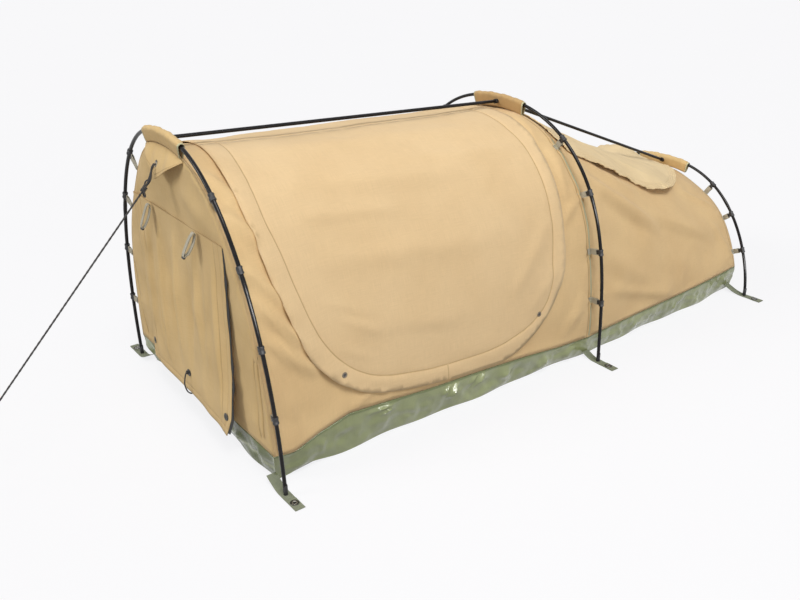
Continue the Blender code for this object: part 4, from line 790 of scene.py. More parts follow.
def buildKnot(knot, slope):
    # Turns of rope round the line, a short tail above, a bight below and the strand to the hood
    centre, along, side = np.array(knot + slope * 0.009), np.array(slope), np.array((0.0, 1.0, 0.0))
    up = np.cross(side, along)
    parts = Parts(rope)
    steps = int(guy["turns"] * 20)
    turns = [centre + along * (k / (guy["turns"] * 20) - 0.5) * 0.0150
             + guy["turnRadius"] * (side * math.cos(math.pi * k / 10) + up * math.sin(math.pi * k / 10))
             for k in range(steps + 1)]
    top, low = centre - along * 0.0065, centre + along * 0.006
    tail = smoothLine([top + side * a - along * b + up * c for a, b, c in
                       ((0.004, 0, 0), (0.007, 0.004, 0.002), (0.009, 0.012, 0.004),
                        (0.006, 0.019, 0.003))], 6)
    bight = smoothLine([low + side * a + np.array((b, 0, c)) for a, b, c in
                        ((-0.004, 0, 0), (-0.010, 0.001, -0.006), (-0.008, 0.002, -0.014),
                         (0, 0.002, -0.016), (0.004, 0.001, -0.009), (0.003, 0, 0))], 6)
    eyelet, out = hoodEyelet()
    lead, end = np.array(eyelet + out * 0.006), np.array(knot)
    strand = [lead * (1 - t) + end * t + 0.0050 * (side * math.cos(5 * t + 0.6) + up * math.sin(5 * t + 0.6))
              * (0.3 + 0.7 * math.sin(math.pi * t) ** 0.5) for t in np.linspace(0, 1, 26)]
    for path, radius in ((turns, 0.0024), (tail, np.linspace(0.0023, 0.0019, len(tail))),
                         (bight, 0.0021), (strand, 0.0023)):
        parts.tube(path, radius, rope, 10)
    return parts.make("guy_knot_wraps", "shelter", "black_rope", "guy_knot")


def buildPegLoop(end):      # the spliced loop that a peg holds, whipped where the rope meets it
    centre = end - np.array((guy["loopRadius"] + guy["radius"] + 0.0003, 0, 0))
    ring = [centre + guy["loopRadius"] * np.array((math.cos(a), math.sin(a), 0))
            for a in np.linspace(0, 2 * math.pi, 64, endpoint=False)]
    wrap = [end + np.array((0.004 - 0.010 * t, 0.0033 * math.cos(30 * t),
                            0.0033 * math.sin(30 * t) * 0.9)) for t in np.linspace(0, 1, 60)]
    parts = Parts(rope)
    parts.tube(ring, guy["radius"] * 0.97, rope, 12, closed=True)
    parts.tube(wrap, 0.0007, rope, 6)
    return parts.make("guy_peg_loop", "shelter", "black_rope", "guy_end_loop")


buildRope()
stageNote("guy rope")

pole = {"radius": 0.0055, "pin": 0.0030, "step": 0.011, "jointShares": (0.26, 0.5, 0.74),
        "cap": ((0.0, 0.0056), (0.04, 0.0063), (0.9, 0.0063), (1.0, 0.0057))}


def buildHoop(name):
    near = evenly(hoopHalf(hoops[name]), pole["step"])
    near[0, 2] = 0.0034      # the tube ends over its pin
    line = np.vstack([near[:-1], near[::-1] * np.array([1.0, -1.0, 1.0])])
    parts = Parts(alloy, nylon)
    parts.tube(line, pole["radius"], alloy, 20)
    length = reachOf(line)
    for share in pole["jointShares"]:      # ferrules
        k = int(np.searchsorted(length, share * length[-1]))
        parts.tube(line[k - 2:k + 3], np.array((0.0056, 0.0060, 0.0060, 0.0060, 0.0056)), alloy, 20)
    for x, y, _ in (line[0], line[-1]):
        parts.lathe((x, y, 0.0006), (x, y, 0.0040),
                    ((0.0, 0.0024), (0.2, pole["pin"]), (1.0, pole["pin"])), alloy)
        parts.lathe((x, y, 0.0034), (x, y, 0.0330), pole["cap"], nylon)
    parts.make(name + "_hoop_tube", "shelter", "black_tube", name + "_hoop")


for name in hoops:
    buildHoop(name)
for nodes, material in ((("head_ridge_pole", "foot_ridge_pole"), alloy),
                        (("head_hub", "middle_hub", "foot_hub"), nylon)):
    for node in nodes:      # shown as the CAD has them
        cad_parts[node].data.materials.clear()
        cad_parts[node].data.materials.append(material)
stageNote("poles")

shell = {"step": 0.016, "thickness": 0.0012, "seamWidth": 0.0016,
         "seams": (0.014, headLength - 0.012, headLength + 0.004, totalLength - 0.014),
         "pleats": ((-0.400, -0.010, 0.27), (-0.379, -0.012, 0.22), (0.395, 0.008, 0.24)),
         "creases": (
             (0.022, 0.490, 0.112, 0.350, 0.015, 0.0190, 0.8),
             (0.012, 0.425, 0.140, 0.235, 0.016, 0.0220, 0.8),
             (0.020, 0.640, 0.090, 0.515, 0.016, 0.0170, 0.8),
             (0.015, 0.330, 0.165, 0.150, 0.015, 0.0150, 0.8),
             (0.020, 0.760, 0.078, 0.640, 0.018, 0.0130, 0.7),
             (0.022, 0.300, 0.012, 0.070, 0.005, 0.0080, 0.0),
             (0.038, 0.290, 0.032, 0.090, 0.006, 0.0080, 0.0),
             (0.060, 0.200, 0.085, 0.010, 0.010, 0.0080, 0.0),
             (0.240, 0.000, 0.335, 0.058, 0.008, 0.0100, 0.6),
             (0.330, 0.000, 0.420, 0.030, 0.010, 0.0060, 0.4),
             (1.100, 0.390, 1.185, 0.460, 0.014, 0.0100, 0.6),
             (1.050, 0.200, 1.110, 0.390, 0.012, 0.0090, 0.5),
             (1.120, 0.420, 1.180, 0.640, 0.016, 0.0090, 0.5),
             (1.130, 0.640, 1.185, 0.840, 0.016, 0.0080, 0.5),
             (1.070, 0.020, 1.170, 0.160, 0.020, 0.0080, 0.4),
             (1.215, 0.540, 1.660, 0.310, 0.034, 0.0230, 1.0),
             (1.560, 0.420, 2.060, 0.210, 0.034, 0.0120, 0.8),
             (1.220, 0.300, 1.640, 0.060, 0.044, 0.0065, 0.6),
             (1.240, 0.620, 1.600, 0.470, 0.030, 0.0110, 0.5),
             (1.640, 0.440, 2.150, 0.230, 0.040, 0.0070, 0.5),
             (1.300, 0.140, 1.720, 0.020, 0.022, 0.0090, 0.5),
             (1.950, 0.520, 2.160, 0.380, 0.018, 0.0110, 0.5),
             (2.060, 0.320, 2.170, 0.060, 0.016, 0.0090, 0.3)),
         "headWallCreases": (
             (-0.385, 0.13, -0.395, 0.42, 0.007, 0.0060, 0.0),
             (-0.360, 0.12, -0.375, 0.36, 0.008, 0.0045, 0.0),
             (-0.335, 0.14, -0.350, 0.50, 0.010, 0.0040, 0.4),
             (0.380, 0.13, 0.395, 0.42, 0.008, 0.0060, 0.0),
             (0.345, 0.12, 0.350, 0.48, 0.010, 0.0045, 0.3),
             (-0.30, 0.66, 0.02, 0.74, 0.03, 0.0050, 0.3),
             (0.28, 0.66, 0.05, 0.76, 0.03, 0.0045, 0.3))}
windowHole = {"half": 0.240, "sill": 0.165, "top": 0.600, "corner": 0.050}
doorRim = evenly(smoothLine(headFlat(doorEdge)), 0.02)


def clipPull(flat):      # small puckers that run from each pole strap into the cloth
    total = np.zeros(len(flat))
    for along, hoop, table in ((0.0, hoops["head"], headTable[0]),
                               (headLength, hoops["middle"], headTable[-1]),
                               (totalLength, hoops["foot"], footTable[-1])):
        for share in hoop["clips"]:
            y = -(hoop["half"] - sideGap) * share
            girth = float(np.interp(y, table[:, 1], np.linspace(0, 0.5, len(table))))
            for v in (girth * girthLength, (1 - girth) * girthLength):
                away = flat - np.array([along, v])
                far = np.linalg.norm(away, axis=1)
                turn = np.arctan2(away[:, 1], away[:, 0])
                total += 0.0032 * np.exp(-far / 0.055) * np.cos(7 * turn) * clip01(far / 0.01)
    return total


def shellLift(flat):      # how far folds and ripples stand off the taut surface
    v = np.minimum(flat[:, 1], girthLength - flat[:, 1])
    mirror = np.stack([flat[:, 0], v], axis=1)
    lift = creases(mirror, shell["creases"]) * np.where(flat[:, 1] <= girthLength / 2, 1.0, 0.85)
    lift += ripple(flat, 3, 0.30, 0.0022) + ripple(flat, 4, 0.11, 0.0008) + clipPull(flat)
    edge = np.minimum(np.abs(flat[:, 0]), np.abs(flat[:, 0] - totalLength))
    under = np.where(inside(mirror, doorRim), clip01(nearLine(mirror, doorRim)[0] / 0.05 - 0.2), 0.0)
    lift = lift * (1 - under) + np.minimum(lift, 0.0) * under      # lies flat under the door's flap
    return lift * clip01(np.minimum(edge, v) / 0.03)


def shellPull(flat):
    # How far the awning draws in the far shoulder of the head end, and slack straps the foot's two
    v = np.minimum(flat[:, 1], girthLength - flat[:, 1])
    head = 0.024 * hump(flat[:, 0], 0.07) * hump(flat[:, 1] - 1.20, 0.16)
    return head + 0.017 * hump(flat[:, 0] - totalLength, 0.09) * hump(v - 0.62, 0.19)


def shellPoints(flat, lift=0.0):
    points, normal = onCanvas(flat, lift)
    return points - normal * [0, 1, 1] * shellPull(flat)[:, None]


def roundedWindow(shrink=0.0):
    corner = windowHole["corner"] - shrink
    half = windowHole["half"] - shrink - corner
    low, high = windowHole["sill"] + shrink + corner, windowHole["top"] - shrink - corner
    points = []
    for y, z, first in ((half, low, -90), (half, high, 0), (-half, high, 90), (-half, low, 180)):
        for a in np.radians(first + 15 * np.arange(7)):
            points.append((y + corner * math.cos(a), z + corner * math.sin(a)))
    return np.array(points)


def buildShell():      # one skin: sides and roof, and the two end walls sewn to their edges
    step = shell["step"]
    count = int(totalLength / step) + 1
    bottom = np.stack([np.linspace(0, totalLength, count), np.zeros(count)], axis=1)
    right = evenly(np.array([[totalLength, 0.0], [totalLength, girthLength]]), step)
    outline = np.vstack([bottom[:-1], right[:-1], (bottom * [1, 0] + [0, girthLength])[::-1][:-1],
                         right[::-1][:-1] * [0, 1]])
    holes = []
    for shares in (headFlat(doorway), footFlat(ventHole)):
        line = evenly(smoothLine(shares), step * 0.7, closed=True)
        holes += [line, (line * [1, -1] + [0, girthLength])[::-1]]
    ends = np.linspace(0.002, girthLength - 0.002, 200)
    seams = [np.stack([np.full(200, u), ends], axis=1) for u in shell["seams"]]
    for hole in holes:
        ring = np.vstack([hole, hole[:1]])
        seams.append(ring + unit(ring - hole.mean(axis=0)) * 0.014)
    flat, faces = cutCloth(outline, step, holes, [evenly(s, 0.010) for s in seams], shell["seamWidth"])
    lift, sewn = shellLift(flat), np.zeros(len(flat))
    for line in seams:
        lift, sewn = sew(lift, sewn, nearLine(flat, line)[0], 0.0009, 0.0022, 1.0,
                         shell["seamWidth"] * 1.6)
    skins = [(shellPoints(flat, lift), faces, flat, sewn)]
    first = len(flat)
    for matrix, along, seed, window in ((headWall, 0.0, 5, True), (footWall, totalLength, 6, False)):
        rim = shellPoints(evenly(np.array([[along, 0.0], [along, girthLength]]), step))
        inverse = matrix.inverted()
        local = np.array([tuple(inverse @ Vector(p)) for p in rim])
        sill = np.stack([np.linspace(local[-1, 0], local[0, 0], 60)[1:-1], np.full(58, local[0, 1])], axis=1)
        edge = np.vstack([local[:, :2], sill])
        holes = [evenly(roundedWindow(), 0.012, closed=True)] if window else []
        pleats = [np.array([(y + lean * t, 0.135 + tall * t) for t in np.linspace(0, 1, 20)])
                  for y, lean, tall in shell["pleats"] if window]
        flat, faces = cutCloth(edge, 0.018, holes, pleats, 0.0016)
        depth = ripple(flat, seed, 0.20, 0.0022) + ripple(flat, seed + 9, 0.07, 0.0007)
        if window:
            depth += creases(flat, shell["headWallCreases"])
        depth *= clip01(nearLine(flat, np.vstack([edge, edge[:1]]))[0] / 0.05)
        sewn = np.zeros(len(flat))
        # the pleats are grooved, and their dark lines are painted shade in the folds
        for line in pleats:
            depth, sewn = sew(depth, sewn, nearLine(flat, line)[0], 0.0040, 0.0030, 1.2, 0.00408)
        points = np.array([tuple(matrix @ Vector((y, z, t))) for (y, z), t in zip(flat, depth)])
        skins.append((points, faces + first, flat, sewn))
        first += len(flat)
    points, faces, uv, sewn = (np.concatenate(rows) for rows in zip(*skins))
    slots = np.repeat([0, 1], [len(skins[0][1]), len(faces) - len(skins[0][1])])
    made = addMesh("canvas_shell", points, faces, [tanCanvas, shadedWallCanvas], uv, sewn, slots)
    faceOut(made, 0.0002, lambda f: f.calc_center_median().z, 1)
    thicken(made, shell["thickness"], -1.0)
    tell(made, "canvas_body", "shelter")
    return made


def buildSeamTape(label, side):      # pale tape over the seam that the middle hoop's straps are sewn to
    v = np.linspace(0.006, 0.66, 130)
    v = v if side > 0 else girthLength - v
    rows = []
    for u in (headLength - 0.0060, headLength + 0.0015):
        flat = np.stack([np.full(len(v), u), v], axis=1)
        rows.append(shellPoints(flat, shellLift(flat) + 0.0009))
    parts = Parts(seamTape)
    parts.ribbon((rows[0] + rows[1]) / 2, rows[1] - rows[0], 0.0068, 0.0008, seamTape)
    parts.make(label + "_seam_tape", "shelter", "grey_webbing")


canvasShell = buildShell()
for label, side in sides:
    buildSeamTape(label, side)
stageNote("canvas shell")

door = {"step": 0.014, "thickness": 0.0015, "base": 0.0030, "eyelets": ((0.196, 0.068), (0.799, 0.075)),
        "inner": ((0.128, 0.50), (0.122, 0.46), (0.112, 0.41), *doorway[1:-1],
                  (0.893, 0.41), (0.893, 0.46), (0.893, 0.50)),
        "gapes": ((0.100, 0.480, 0.050, 0.0080), (0.108, 0.345, 0.045, 0.0115),
                  (0.135, 0.235, 0.035, 0.0100), (0.185, 0.150, 0.035, 0.0090),
                  (0.240, 0.092, 0.028, 0.0090), (0.290, 0.060, 0.024, 0.0070),
                  (0.350, 0.036, 0.022, 0.0060), (1.115, 0.52, 0.07, 0.0045),
                  (1.080, 0.30, 0.07, 0.0045)),
        "waves": ((0.16, 0.800, 1.05, 0.765, 0.035, 0.0060, 0.4),
                  (0.16, 0.650, 0.85, 0.600, 0.034, 0.0080, 0.5),
                  (0.18, 0.560, 0.62, 0.520, 0.022, 0.0060, 0.6),
                  (0.22, 0.500, 1.00, 0.545, 0.032, -0.0045, 0.4),
                  (0.18, 0.430, 0.80, 0.395, 0.036, 0.0065, 0.5),
                  (0.30, 0.300, 1.02, 0.335, 0.050, -0.0028, 0.4),
                  (0.22, 0.235, 0.72, 0.180, 0.034, 0.0045, 0.5),
                  (0.20, 0.340, 0.36, 0.260, 0.010, 0.0045, 0.6),
                  (0.23, 0.290, 0.38, 0.205, 0.010, 0.0045, 0.6),
                  (0.22, 0.200, 0.34, 0.140, 0.009, 0.0040, 0.6),
                  (0.45, 0.150, 1.00, 0.120, 0.036, -0.0030, 0.4),
                  (0.60, 0.680, 1.08, 0.640, 0.026, 0.0055, 0.4),
                  (0.85, 0.200, 1.06, 0.430, 0.024, 0.0065, 0.5),
                  (0.92, 0.140, 1.08, 0.300, 0.016, 0.0045, 0.5),
                  (0.165, 0.275, 0.235, 0.150, 0.013, -0.0060, 0.4),
                  (0.270, 0.085, 0.430, 0.045, 0.010, 0.0030, 0.4))}


def ridgeLine(outer, count):      # closes a flap's cut along the ridge
    return np.stack([np.linspace(outer[-1, 0], outer[0, 0], count + 2)[1:-1],
                     np.full(count, girthLength / 2)], axis=1)


def doorLift(flat, outer, inner):      # its puffed hem, gaping edge and slack panel
    dOut, dIn = nearLine(flat, outer)[0], nearLine(flat, inner)[0]
    over = girthLength / 2 + 0.05
    hem = ~inside(flat, np.vstack([inner, [[inner[-1, 0], over], [inner[0, 0], over]]]))
    t = clip01(dOut / (dOut + dIn + 1e-9))
    lift = door["base"] + np.where(hem, 0.0022 * np.sin(math.pi * t) ** 0.8, 0.0)
    lift += creases(flat, door["waves"]) * clip01(dOut / 0.05)
    lift += (ripple(flat, 21, 0.24, 0.0013) + ripple(flat, 22, 0.09, 0.0004)) * np.clip(dOut / 0.03, 0.3, 1)
    for u, v, size, height in door["gapes"]:
        away = np.linalg.norm(flat - np.array([u, v]), axis=1)
        lift += height * hump(away, size) * np.exp(-dOut / 0.035)
    roof = clip01((girthLength / 2 - flat[:, 1]) / 0.05)
    lift = np.maximum(lift, 0.0022) * (0.55 + 0.45 * roof)
    return np.maximum(lift, shellLift(flat) + 0.0018), dOut, dIn, hem


def buildDoor(label, side):
    outer = evenly(smoothLine(headFlat(doorEdge)), 0.011)
    inner = evenly(smoothLine(headFlat(door["inner"])), 0.010)
    join = np.array([(0.585, k) for k in np.linspace(0.012, 0.058, 12)])      # where the hem is joined
    outline = np.vstack([outer, ridgeLine(outer, 88)])
    flat, faces = cutCloth(outline, door["step"], (), [inner, join], 0.0014)
    lift, dOut, dIn, hem = doorLift(flat, outer, inner)
    lift, sewn = sew(lift, np.zeros(len(flat)), dIn, 0.0011, 0.0022, 1.0, 0.0022)
    lift += np.where(hem, 0.0006, 0.0)
    lift, sewn = sew(lift, sewn, nearLine(flat, join)[0], 0.0006, 0.0020, 0.8, 0.0020)
    lift, sewn = sew(lift, sewn, np.abs(dOut - 0.006), 0.0, 1.0, 0.35, 0.002)
    flat, faces = onSide(flat, faces, side)
    points, _ = onCanvas(flat, lift)
    points[np.abs(points[:, 1]) < 0.0006, 1] = 0.0
    cloth = addMesh(label + "_door_cloth", points, faces, [flapCanvas], flat, sewn)
    thicken(cloth, door["thickness"], 1.0)
    tell(cloth, label + "_door_flap")
    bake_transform(cloth)
    places = headFlat(door["eyelets"])
    rise = doorLift(places, outer, inner)[0] + door["thickness"] + 0.0008
    ring = Parts(agedRing, nylon)
    for place, out in zip(*onCanvas(onSide(places, faces, side)[0], rise)):
        ring.eyelet(place, out, 0.0086, 0.0044, agedRing)
    rings = ring.make(label + "_door_eyelets", label + "_door", "black_plastic")


for label, side in sides:
    buildDoor(label, side)
stageNote("door flaps")

tongue = {"step": 0.011, "thickness": 0.0028, "rows": (0.007, 0.016, 0.025, 0.034), "farHump": 0.044,
          "creases": ((1.32, 0.80, 1.60, 0.56, 0.014, 0.0045, 0.4),
                      (1.50, 0.82, 1.74, 0.56, 0.014, 0.0040, 0.4),
                      (1.70, 0.84, 1.92, 0.62, 0.012, 0.0040, 0.4),
                      (1.90, 0.86, 2.06, 0.72, 0.010, 0.0035, 0.4))}


def buildTongue(label, side):      # the roof vent's flap, puckered by its rows of stitching
    outer = evenly(smoothLine(footFlat(tongueEdge)), 0.009)
    run = unit(np.gradient(outer, axis=0))
    inward = np.stack([-run[:, 1], run[:, 0]], axis=1)
    outline = np.vstack([outer, ridgeLine(outer, 68)])
    flat, faces = cutCloth(outline, tongue["step"], (), [outer + inward * row for row in tongue["rows"]],
                           0.0010)
    dOut, along = nearLine(flat, outer)
    u = (flat[:, 0] - headLength) / footLength
    fall = clip01((0.46 * girthLength - flat[:, 1]) / (0.19 * girthLength))
    wave = 0.5 - 0.5 * np.cos(2 * math.pi * 2.5 * u)
    lift = 0.0026 + 0.024 * wave * np.sin(math.pi * clip01(u)) * fall
    lift += 0.010 * clip01((u - 0.72) / 0.2) ** 2 * np.clip(fall * 2, 0.15, 1)
    lift += 0.0034 * np.sin(2 * math.pi * along / 0.085 + 0.6) * np.exp(-dOut / 0.030) * fall
    pucker = np.sin(2 * math.pi * along / 0.027 + 1.3 * np.sin(along * 31)) * clip01(1 - dOut / 0.046)
    lift += (0.0020 * pucker + 0.0034 * clip01(1 - dOut / 0.042) ** 0.5) * np.clip(fall * 3, 0.3, 1)
    lift += creases(flat, tongue["creases"]) + ripple(flat, 31, 0.12, 0.0007)
    if side < 0:      # the far vent is held up and shows beyond the ridge
        lift += tongue["farHump"] * hump(u - 0.84, 0.09) * clip01((0.885 - flat[:, 1]) / 0.15)
    sewn = np.zeros(len(flat))
    for row in tongue["rows"]:
        lift, sewn = sew(lift, sewn, np.abs(dOut - row), 0.0009, 0.0020, 0.5, 0.0022)
    lift = np.maximum(lift, shellLift(flat) + 0.0020) + 0.0028 * np.exp(-dOut / 0.006)
    flat, faces = onSide(flat, faces, side)
    points, _ = onCanvas(flat, lift)
    points[np.abs(points[:, 1]) < 0.0006, 1] = 0.0
    # the vent cloth's paler colour is painted light
    cloth = addMesh(label + "_vent_cloth", points, faces, [litVentCanvas], flat, sewn)
    thicken(cloth, tongue["thickness"], 1.0)
    tell(cloth, label + "_vent_flap")
    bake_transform(cloth)


for label, side in sides:
    buildTongue(label, side)
stageNote("vent flaps")

screen = {"thickness": 0.0006, "under": -0.0022, "sag": 0.004}


def addNet(node, points, faces, flat, body):
    made = addMesh(node + "_net", points, faces, [net], flat)
    thicken(made, screen["thickness"], -1.0)
    tell(made, node, body)
    return made


def buildScreen(node, side, shares, body):      # a net that fills a hole in the canvas
    outline = evenly(smoothLine(shares), 0.012, closed=True)
    centre = outline.mean(axis=0)
    outline = centre + (outline - centre) * 0.996
    flat, faces = cutCloth(outline, 0.020)
    edge = nearLine(flat, np.vstack([outline, outline[:1]]))[0]
    flat, faces = onSide(flat, faces, side)
    points, _ = onCanvas(flat, screen["under"] - screen["sag"] * clip01(edge / 0.15))
    return addNet(node, points, faces, flat, body)


def buildWindowScreen():
    flat, faces = cutCloth(evenly(roundedWindow(0.001), 0.012, closed=True), 0.022)
    sag = 0.0030 * np.cos(flat[:, 0] / 0.24 * math.pi / 2) * np.sin((flat[:, 1] - 0.165) / 0.435 * math.pi)
    points = [tuple(headWall @ Vector((y, z, screen["under"] - s))) for (y, z), s in zip(flat, sag)]
    made = addNet("window_screen", points, faces, flat, "shelter")


for label, side in sides:
    piece = buildScreen(label + "_door_screen", side, headFlat(doorway), label + "_screen")
    piece = buildScreen(label + "_vent_screen", side, footFlat(ventHole), "shelter")
buildWindowScreen()
stageNote("screens")

windowFlap = {"half": 0.290, "top": 0.640, "hem": 0.092, "thickness": 0.0015, "seams": (0.024, 0.050),
              "eyelets": ((-0.263, 0.056), (0.0, 0.066), (0.260, 0.066)),
              "folds": ((-0.225, 0.60, -0.235, 0.13, 0.012, 0.0080, 0.6),
                        (-0.175, 0.56, -0.150, 0.15, 0.018, 0.0080, 0.4),
                        (-0.110, 0.62, -0.120, 0.22, 0.014, 0.0080, 0.5),
                        (-0.060, 0.55, -0.020, 0.12, 0.016, -0.0090, 0.4),
                        (0.015, 0.60, 0.030, 0.16, 0.013, 0.0105, 0.6),
                        (0.080, 0.58, 0.070, 0.20, 0.016, -0.0090, 0.4),
                        (0.120, 0.61, 0.135, 0.14, 0.011, 0.0120, 0.7),
                        (0.175, 0.50, 0.160, 0.16, 0.013, 0.0090, 0.5),
                        (0.215, 0.60, 0.235, 0.20, 0.010, 0.0085, 0.5),
                        (0.190, 0.30, 0.120, 0.12, 0.013, 0.0075, 0.4))}


def flapPlace(y, z):      # flat places on the hanging flap, as (across, up, out) on the head wall
    y, z = np.asarray(y, float), np.asarray(z, float)
    half, top, hem = windowFlap["half"], windowFlap["top"], windowFlap["hem"]
    fall = np.clip((top - z) / (top - hem), 0, 1.02)
    near, far = clip01(-y / half), clip01((y - 0.17) / 0.12)
    flat = np.stack([y, z], axis=1)
    depth = 0.0012 + 0.026 * fall ** 1.3 * (1 + 0.50 * near - 0.30 * far ** 2)
    depth += 0.004 * np.sin(5 * math.pi * y / half + fall) * np.sin(math.pi * fall)
    depth += creases(flat, windowFlap["folds"]) * clip01(fall * 4) * (1 - 0.85 * fall ** 4)
    depth += ripple(flat, 41, 0.10, 0.0009) * clip01(fall * 6)
    depth += 0.0035 * near * np.sin(fall * 8) * fall
    corner = clip01((hem + 0.060 - z) / 0.060) * clip01((-y - 0.10) / 0.19)      # turned in at the hem
    return y + 0.026 * corner, z - 0.008 * near * fall ** 2, np.maximum(depth, 0.0014)


def onFlap(y, z, out=0.0):      # a point off the flap's outer face, and the way out of it
    spots = flapPlace([y, y + 0.002, y], [z, z, z + 0.002])
    a, b, c = (np.array(headWall @ Vector(spot)) for spot in zip(*spots))
    normal = unit(np.cross(b - a, c - a))
    if normal[0] > 0:
        normal = -normal
    return a + normal * out, normal


def buildWindowFlap():
    half, top, hem = windowFlap["half"], windowFlap["top"], windowFlap["hem"]
    rows = (-0.0022, -0.001, 0, 0.001, 0.0022)      # finer rows beside each stitched line
    fine = [s * (half - seam + d) for s in (-1, 1) for seam in windowFlap["seams"] for d in rows]
    ys = np.unique(np.concatenate([np.linspace(-half, half, 84), fine]))
    zs = np.unique(np.concatenate([np.linspace(hem, top, 76), [hem + 0.022 + d for d in rows],
                                   [top - d for d in (0.0012, 0.0024, 0.0040)]]))[::-1]
    flat = np.array([(y, z) for z in zs for y in ys])
    across, high, depth = flapPlace(flat[:, 0], flat[:, 1])
    sewn = np.zeros(len(flat))
    for seam in windowFlap["seams"]:
        gap = np.abs(half - np.abs(flat[:, 0]) - seam)
        depth, sewn = sew(depth, sewn, gap, 0.0009, 0.002, 0.45, 0.0022)
    depth, sewn = sew(depth, sewn, np.abs(flat[:, 1] - hem - 0.022), 0.0008, 0.002, 0.45, 0.0022)
    depth, sewn = sew(depth, sewn, top - flat[:, 1], 0.0, 1.0, 0.7, 0.0035)
    points = [tuple(headWall @ Vector(spot)) for spot in zip(across, high, depth)]
    cloth = addMesh("window_flap_cloth", points, gridFaces(len(zs), len(ys), turned=True), [shadedWallCanvas],
                    flat, sewn)
    turnTo(cloth, 0, (-1, 0, 0))
    thicken(cloth, windowFlap["thickness"], 1.0)
    tell(cloth, "window_flap", "window_flap")

    trim = Parts(zipTape, blackRing, nylon, rope)
    for edge in (-1, 1):      # zip tape hanging loose along both sides
        path = [onFlap(edge * half, z, -0.0012)[0]
                + (0, edge * (0.0020 + 0.0028 * math.sin(z * 61 + 2 * math.sin(z * 23))), 0)
                for z in np.linspace(top - 0.004, hem + 0.010, 60)]
        trim.ribbon(path, (0.25 * edge, 1.0, 0.0), 0.0095, 0.0016, zipTape)
    for y, z in windowFlap["eyelets"]:
        place, out = onFlap(y, hem + z, 0.0022)
        trim.eyelet(place, out, 0.0112, 0.0046, blackRing)
    pieces = trim.make("window_flap_trim", "window_flap", "black_plastic")

    cord = Parts(rope)      # elastic loop through the middle eyelet and round the hem
    eyelet, low = onFlap(0.0, hem + 0.066, 0.002)[0], onFlap(0.0, hem, 0.001)[0]
    middle = (eyelet + low) / 2
    route = ((eyelet, 0.001, 0, 0), (eyelet, 0.009, 0, 0.002), (eyelet, 0.016, -0.003, -0.012),
             (middle, 0.019, -0.004, 0), (low, 0.012, -0.003, 0.008), (low, 0, -0.002, -0.0035),
             (low, -0.005, 0, 0.004), (middle, -0.006, 0, 0), (eyelet, -0.004, 0, 0))
    cord.tube(smoothLine([place + (-out, side, up) for place, out, side, up in route], 8), 0.0021, rope, 10)
    cord.lathe(eyelet + (-0.006, 0.001, -0.004), eyelet + (-0.006, 0.001, 0.008),
               ((0, 0.0018), (0.2, 0.0034), (0.8, 0.0034), (1, 0.0018)), rope, 12)
    cord.make("elastic_loop_cord", "window_flap", "black_rope", "elastic_loop")


buildWindowFlap()
stageNote("window flap")

tieLoop = {"tall": 0.068, "spread": 0.0068, "lean": -0.010, "out": 0.030, "width": 0.0160}


def buildTieLoop(label, side):      # a folded webbing loop with a toggle in its bight
    low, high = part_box(label + "_tie_loop")
    x, y, top = (low.x + high.x) / 2, (low.y + high.y) / 2, high.z
    bottom = top - tieLoop["tall"]
    half = (high.x - low.x) / 2 - 0.0022
    back = np.linspace(top - half, bottom + 0.010, 16)[1:]
    spread = tieLoop["spread"] * np.sin(math.pi * (top - back) / tieLoop["tall"])
    drift = side * tieLoop["lean"]
    fall = drift * (top - back) / 0.08
    turn = math.pi * np.arange(13) / 12
    path = [(x + half * math.cos(a) * 0.8, y, top - half - 0.001 + half * math.sin(a)) for a in turn]
    path += [(x - half * 0.8, y + s - f, z) for z, s, f in zip(back, spread, fall)]
    path += [(x + half * math.cos(a) * 0.8, y - drift, bottom + 0.010 + half * math.sin(a))
             for a in turn[1:-1] + math.pi]
    path += [(x + half * 0.8, y - s - f, z) for z, s, f in list(zip(back, spread, fall))[::-1]]
    path = np.array(path)
    path[:, 0] -= tieLoop["out"] * clip01((top - path[:, 2]) / tieLoop["tall"]) ** 1.3
    parts = Parts(webbing, nylon)
    parts.ribbon(path, (0.12, 1.0, 0.0), tieLoop["width"], 0.0018, webbing)
    tip = np.array((x - 0.029, y - drift, bottom + 0.0020))
    parts.lathe(tip - (0, 0.0060, 0), tip + (0, 0.0060, 0),
                ((0, 0.0018), (0.15, 0.0044), (0.85, 0.0044), (1, 0.0018)), nylon, 14)
    parts.make(label + "_tie_loop_web", label + "_loop", "grey_webbing", label + "_tie_loop")


def buildHood():
    points, uv, sewn = [], [], []
    for share in np.arange(hood["columns"]) / (hood["columns"] - 1) * 2 - 1:
        for fall in np.arange(hood["rows"]) / (hood["rows"] - 1):
            fold = 0.0035 * math.sin(9 * share + 1.0) * fall * (1 - share ** 2)
            pull = 0.0030 * math.exp(-((abs(share) - 0.34) / 0.10) ** 2) * math.sin(math.pi * fall)
            out = 0.0012 + fold * 0.5 - pull + 0.004 * fall * (1 - abs(share))
            points.append(tuple(hoodPoint(float(share), float(fall), float(out))))
            uv.append((share * hood["half"], fall * 0.09))
            sewn.append(max(max(0.0, 1 - abs(fall - 0.86) / 0.035) * 0.6, 1 - fall / 0.04))
    faces = gridFaces(hood["columns"], hood["rows"], turned=True)
    cloth = addMesh("hood_cloth", points, faces, [shadedWallCanvas], np.array(uv), np.array(sewn))
    turnTo(cloth, len(faces) // 2, (-1, 0, 0))
    thicken(cloth, 0.0015, 1.0)
    tell(cloth, "hood", "shelter")
    trim = Parts(blackRing, brightRing)
    centre, out = hoodEyelet()
    trim.ring(centre + out * 0.0016, out, 0.0086, 0.0034, blackRing, 0.5)
    trim.ring(centre + out * 0.0034, out, 0.0060, 0.0014, brightRing, 0.6)
    ring = trim.make("hood_eyelet_ring", "shelter", "black_plastic")


for label, side in sides:
    buildTieLoop(label, side)
buildHood()
stageNote("hood and loops")

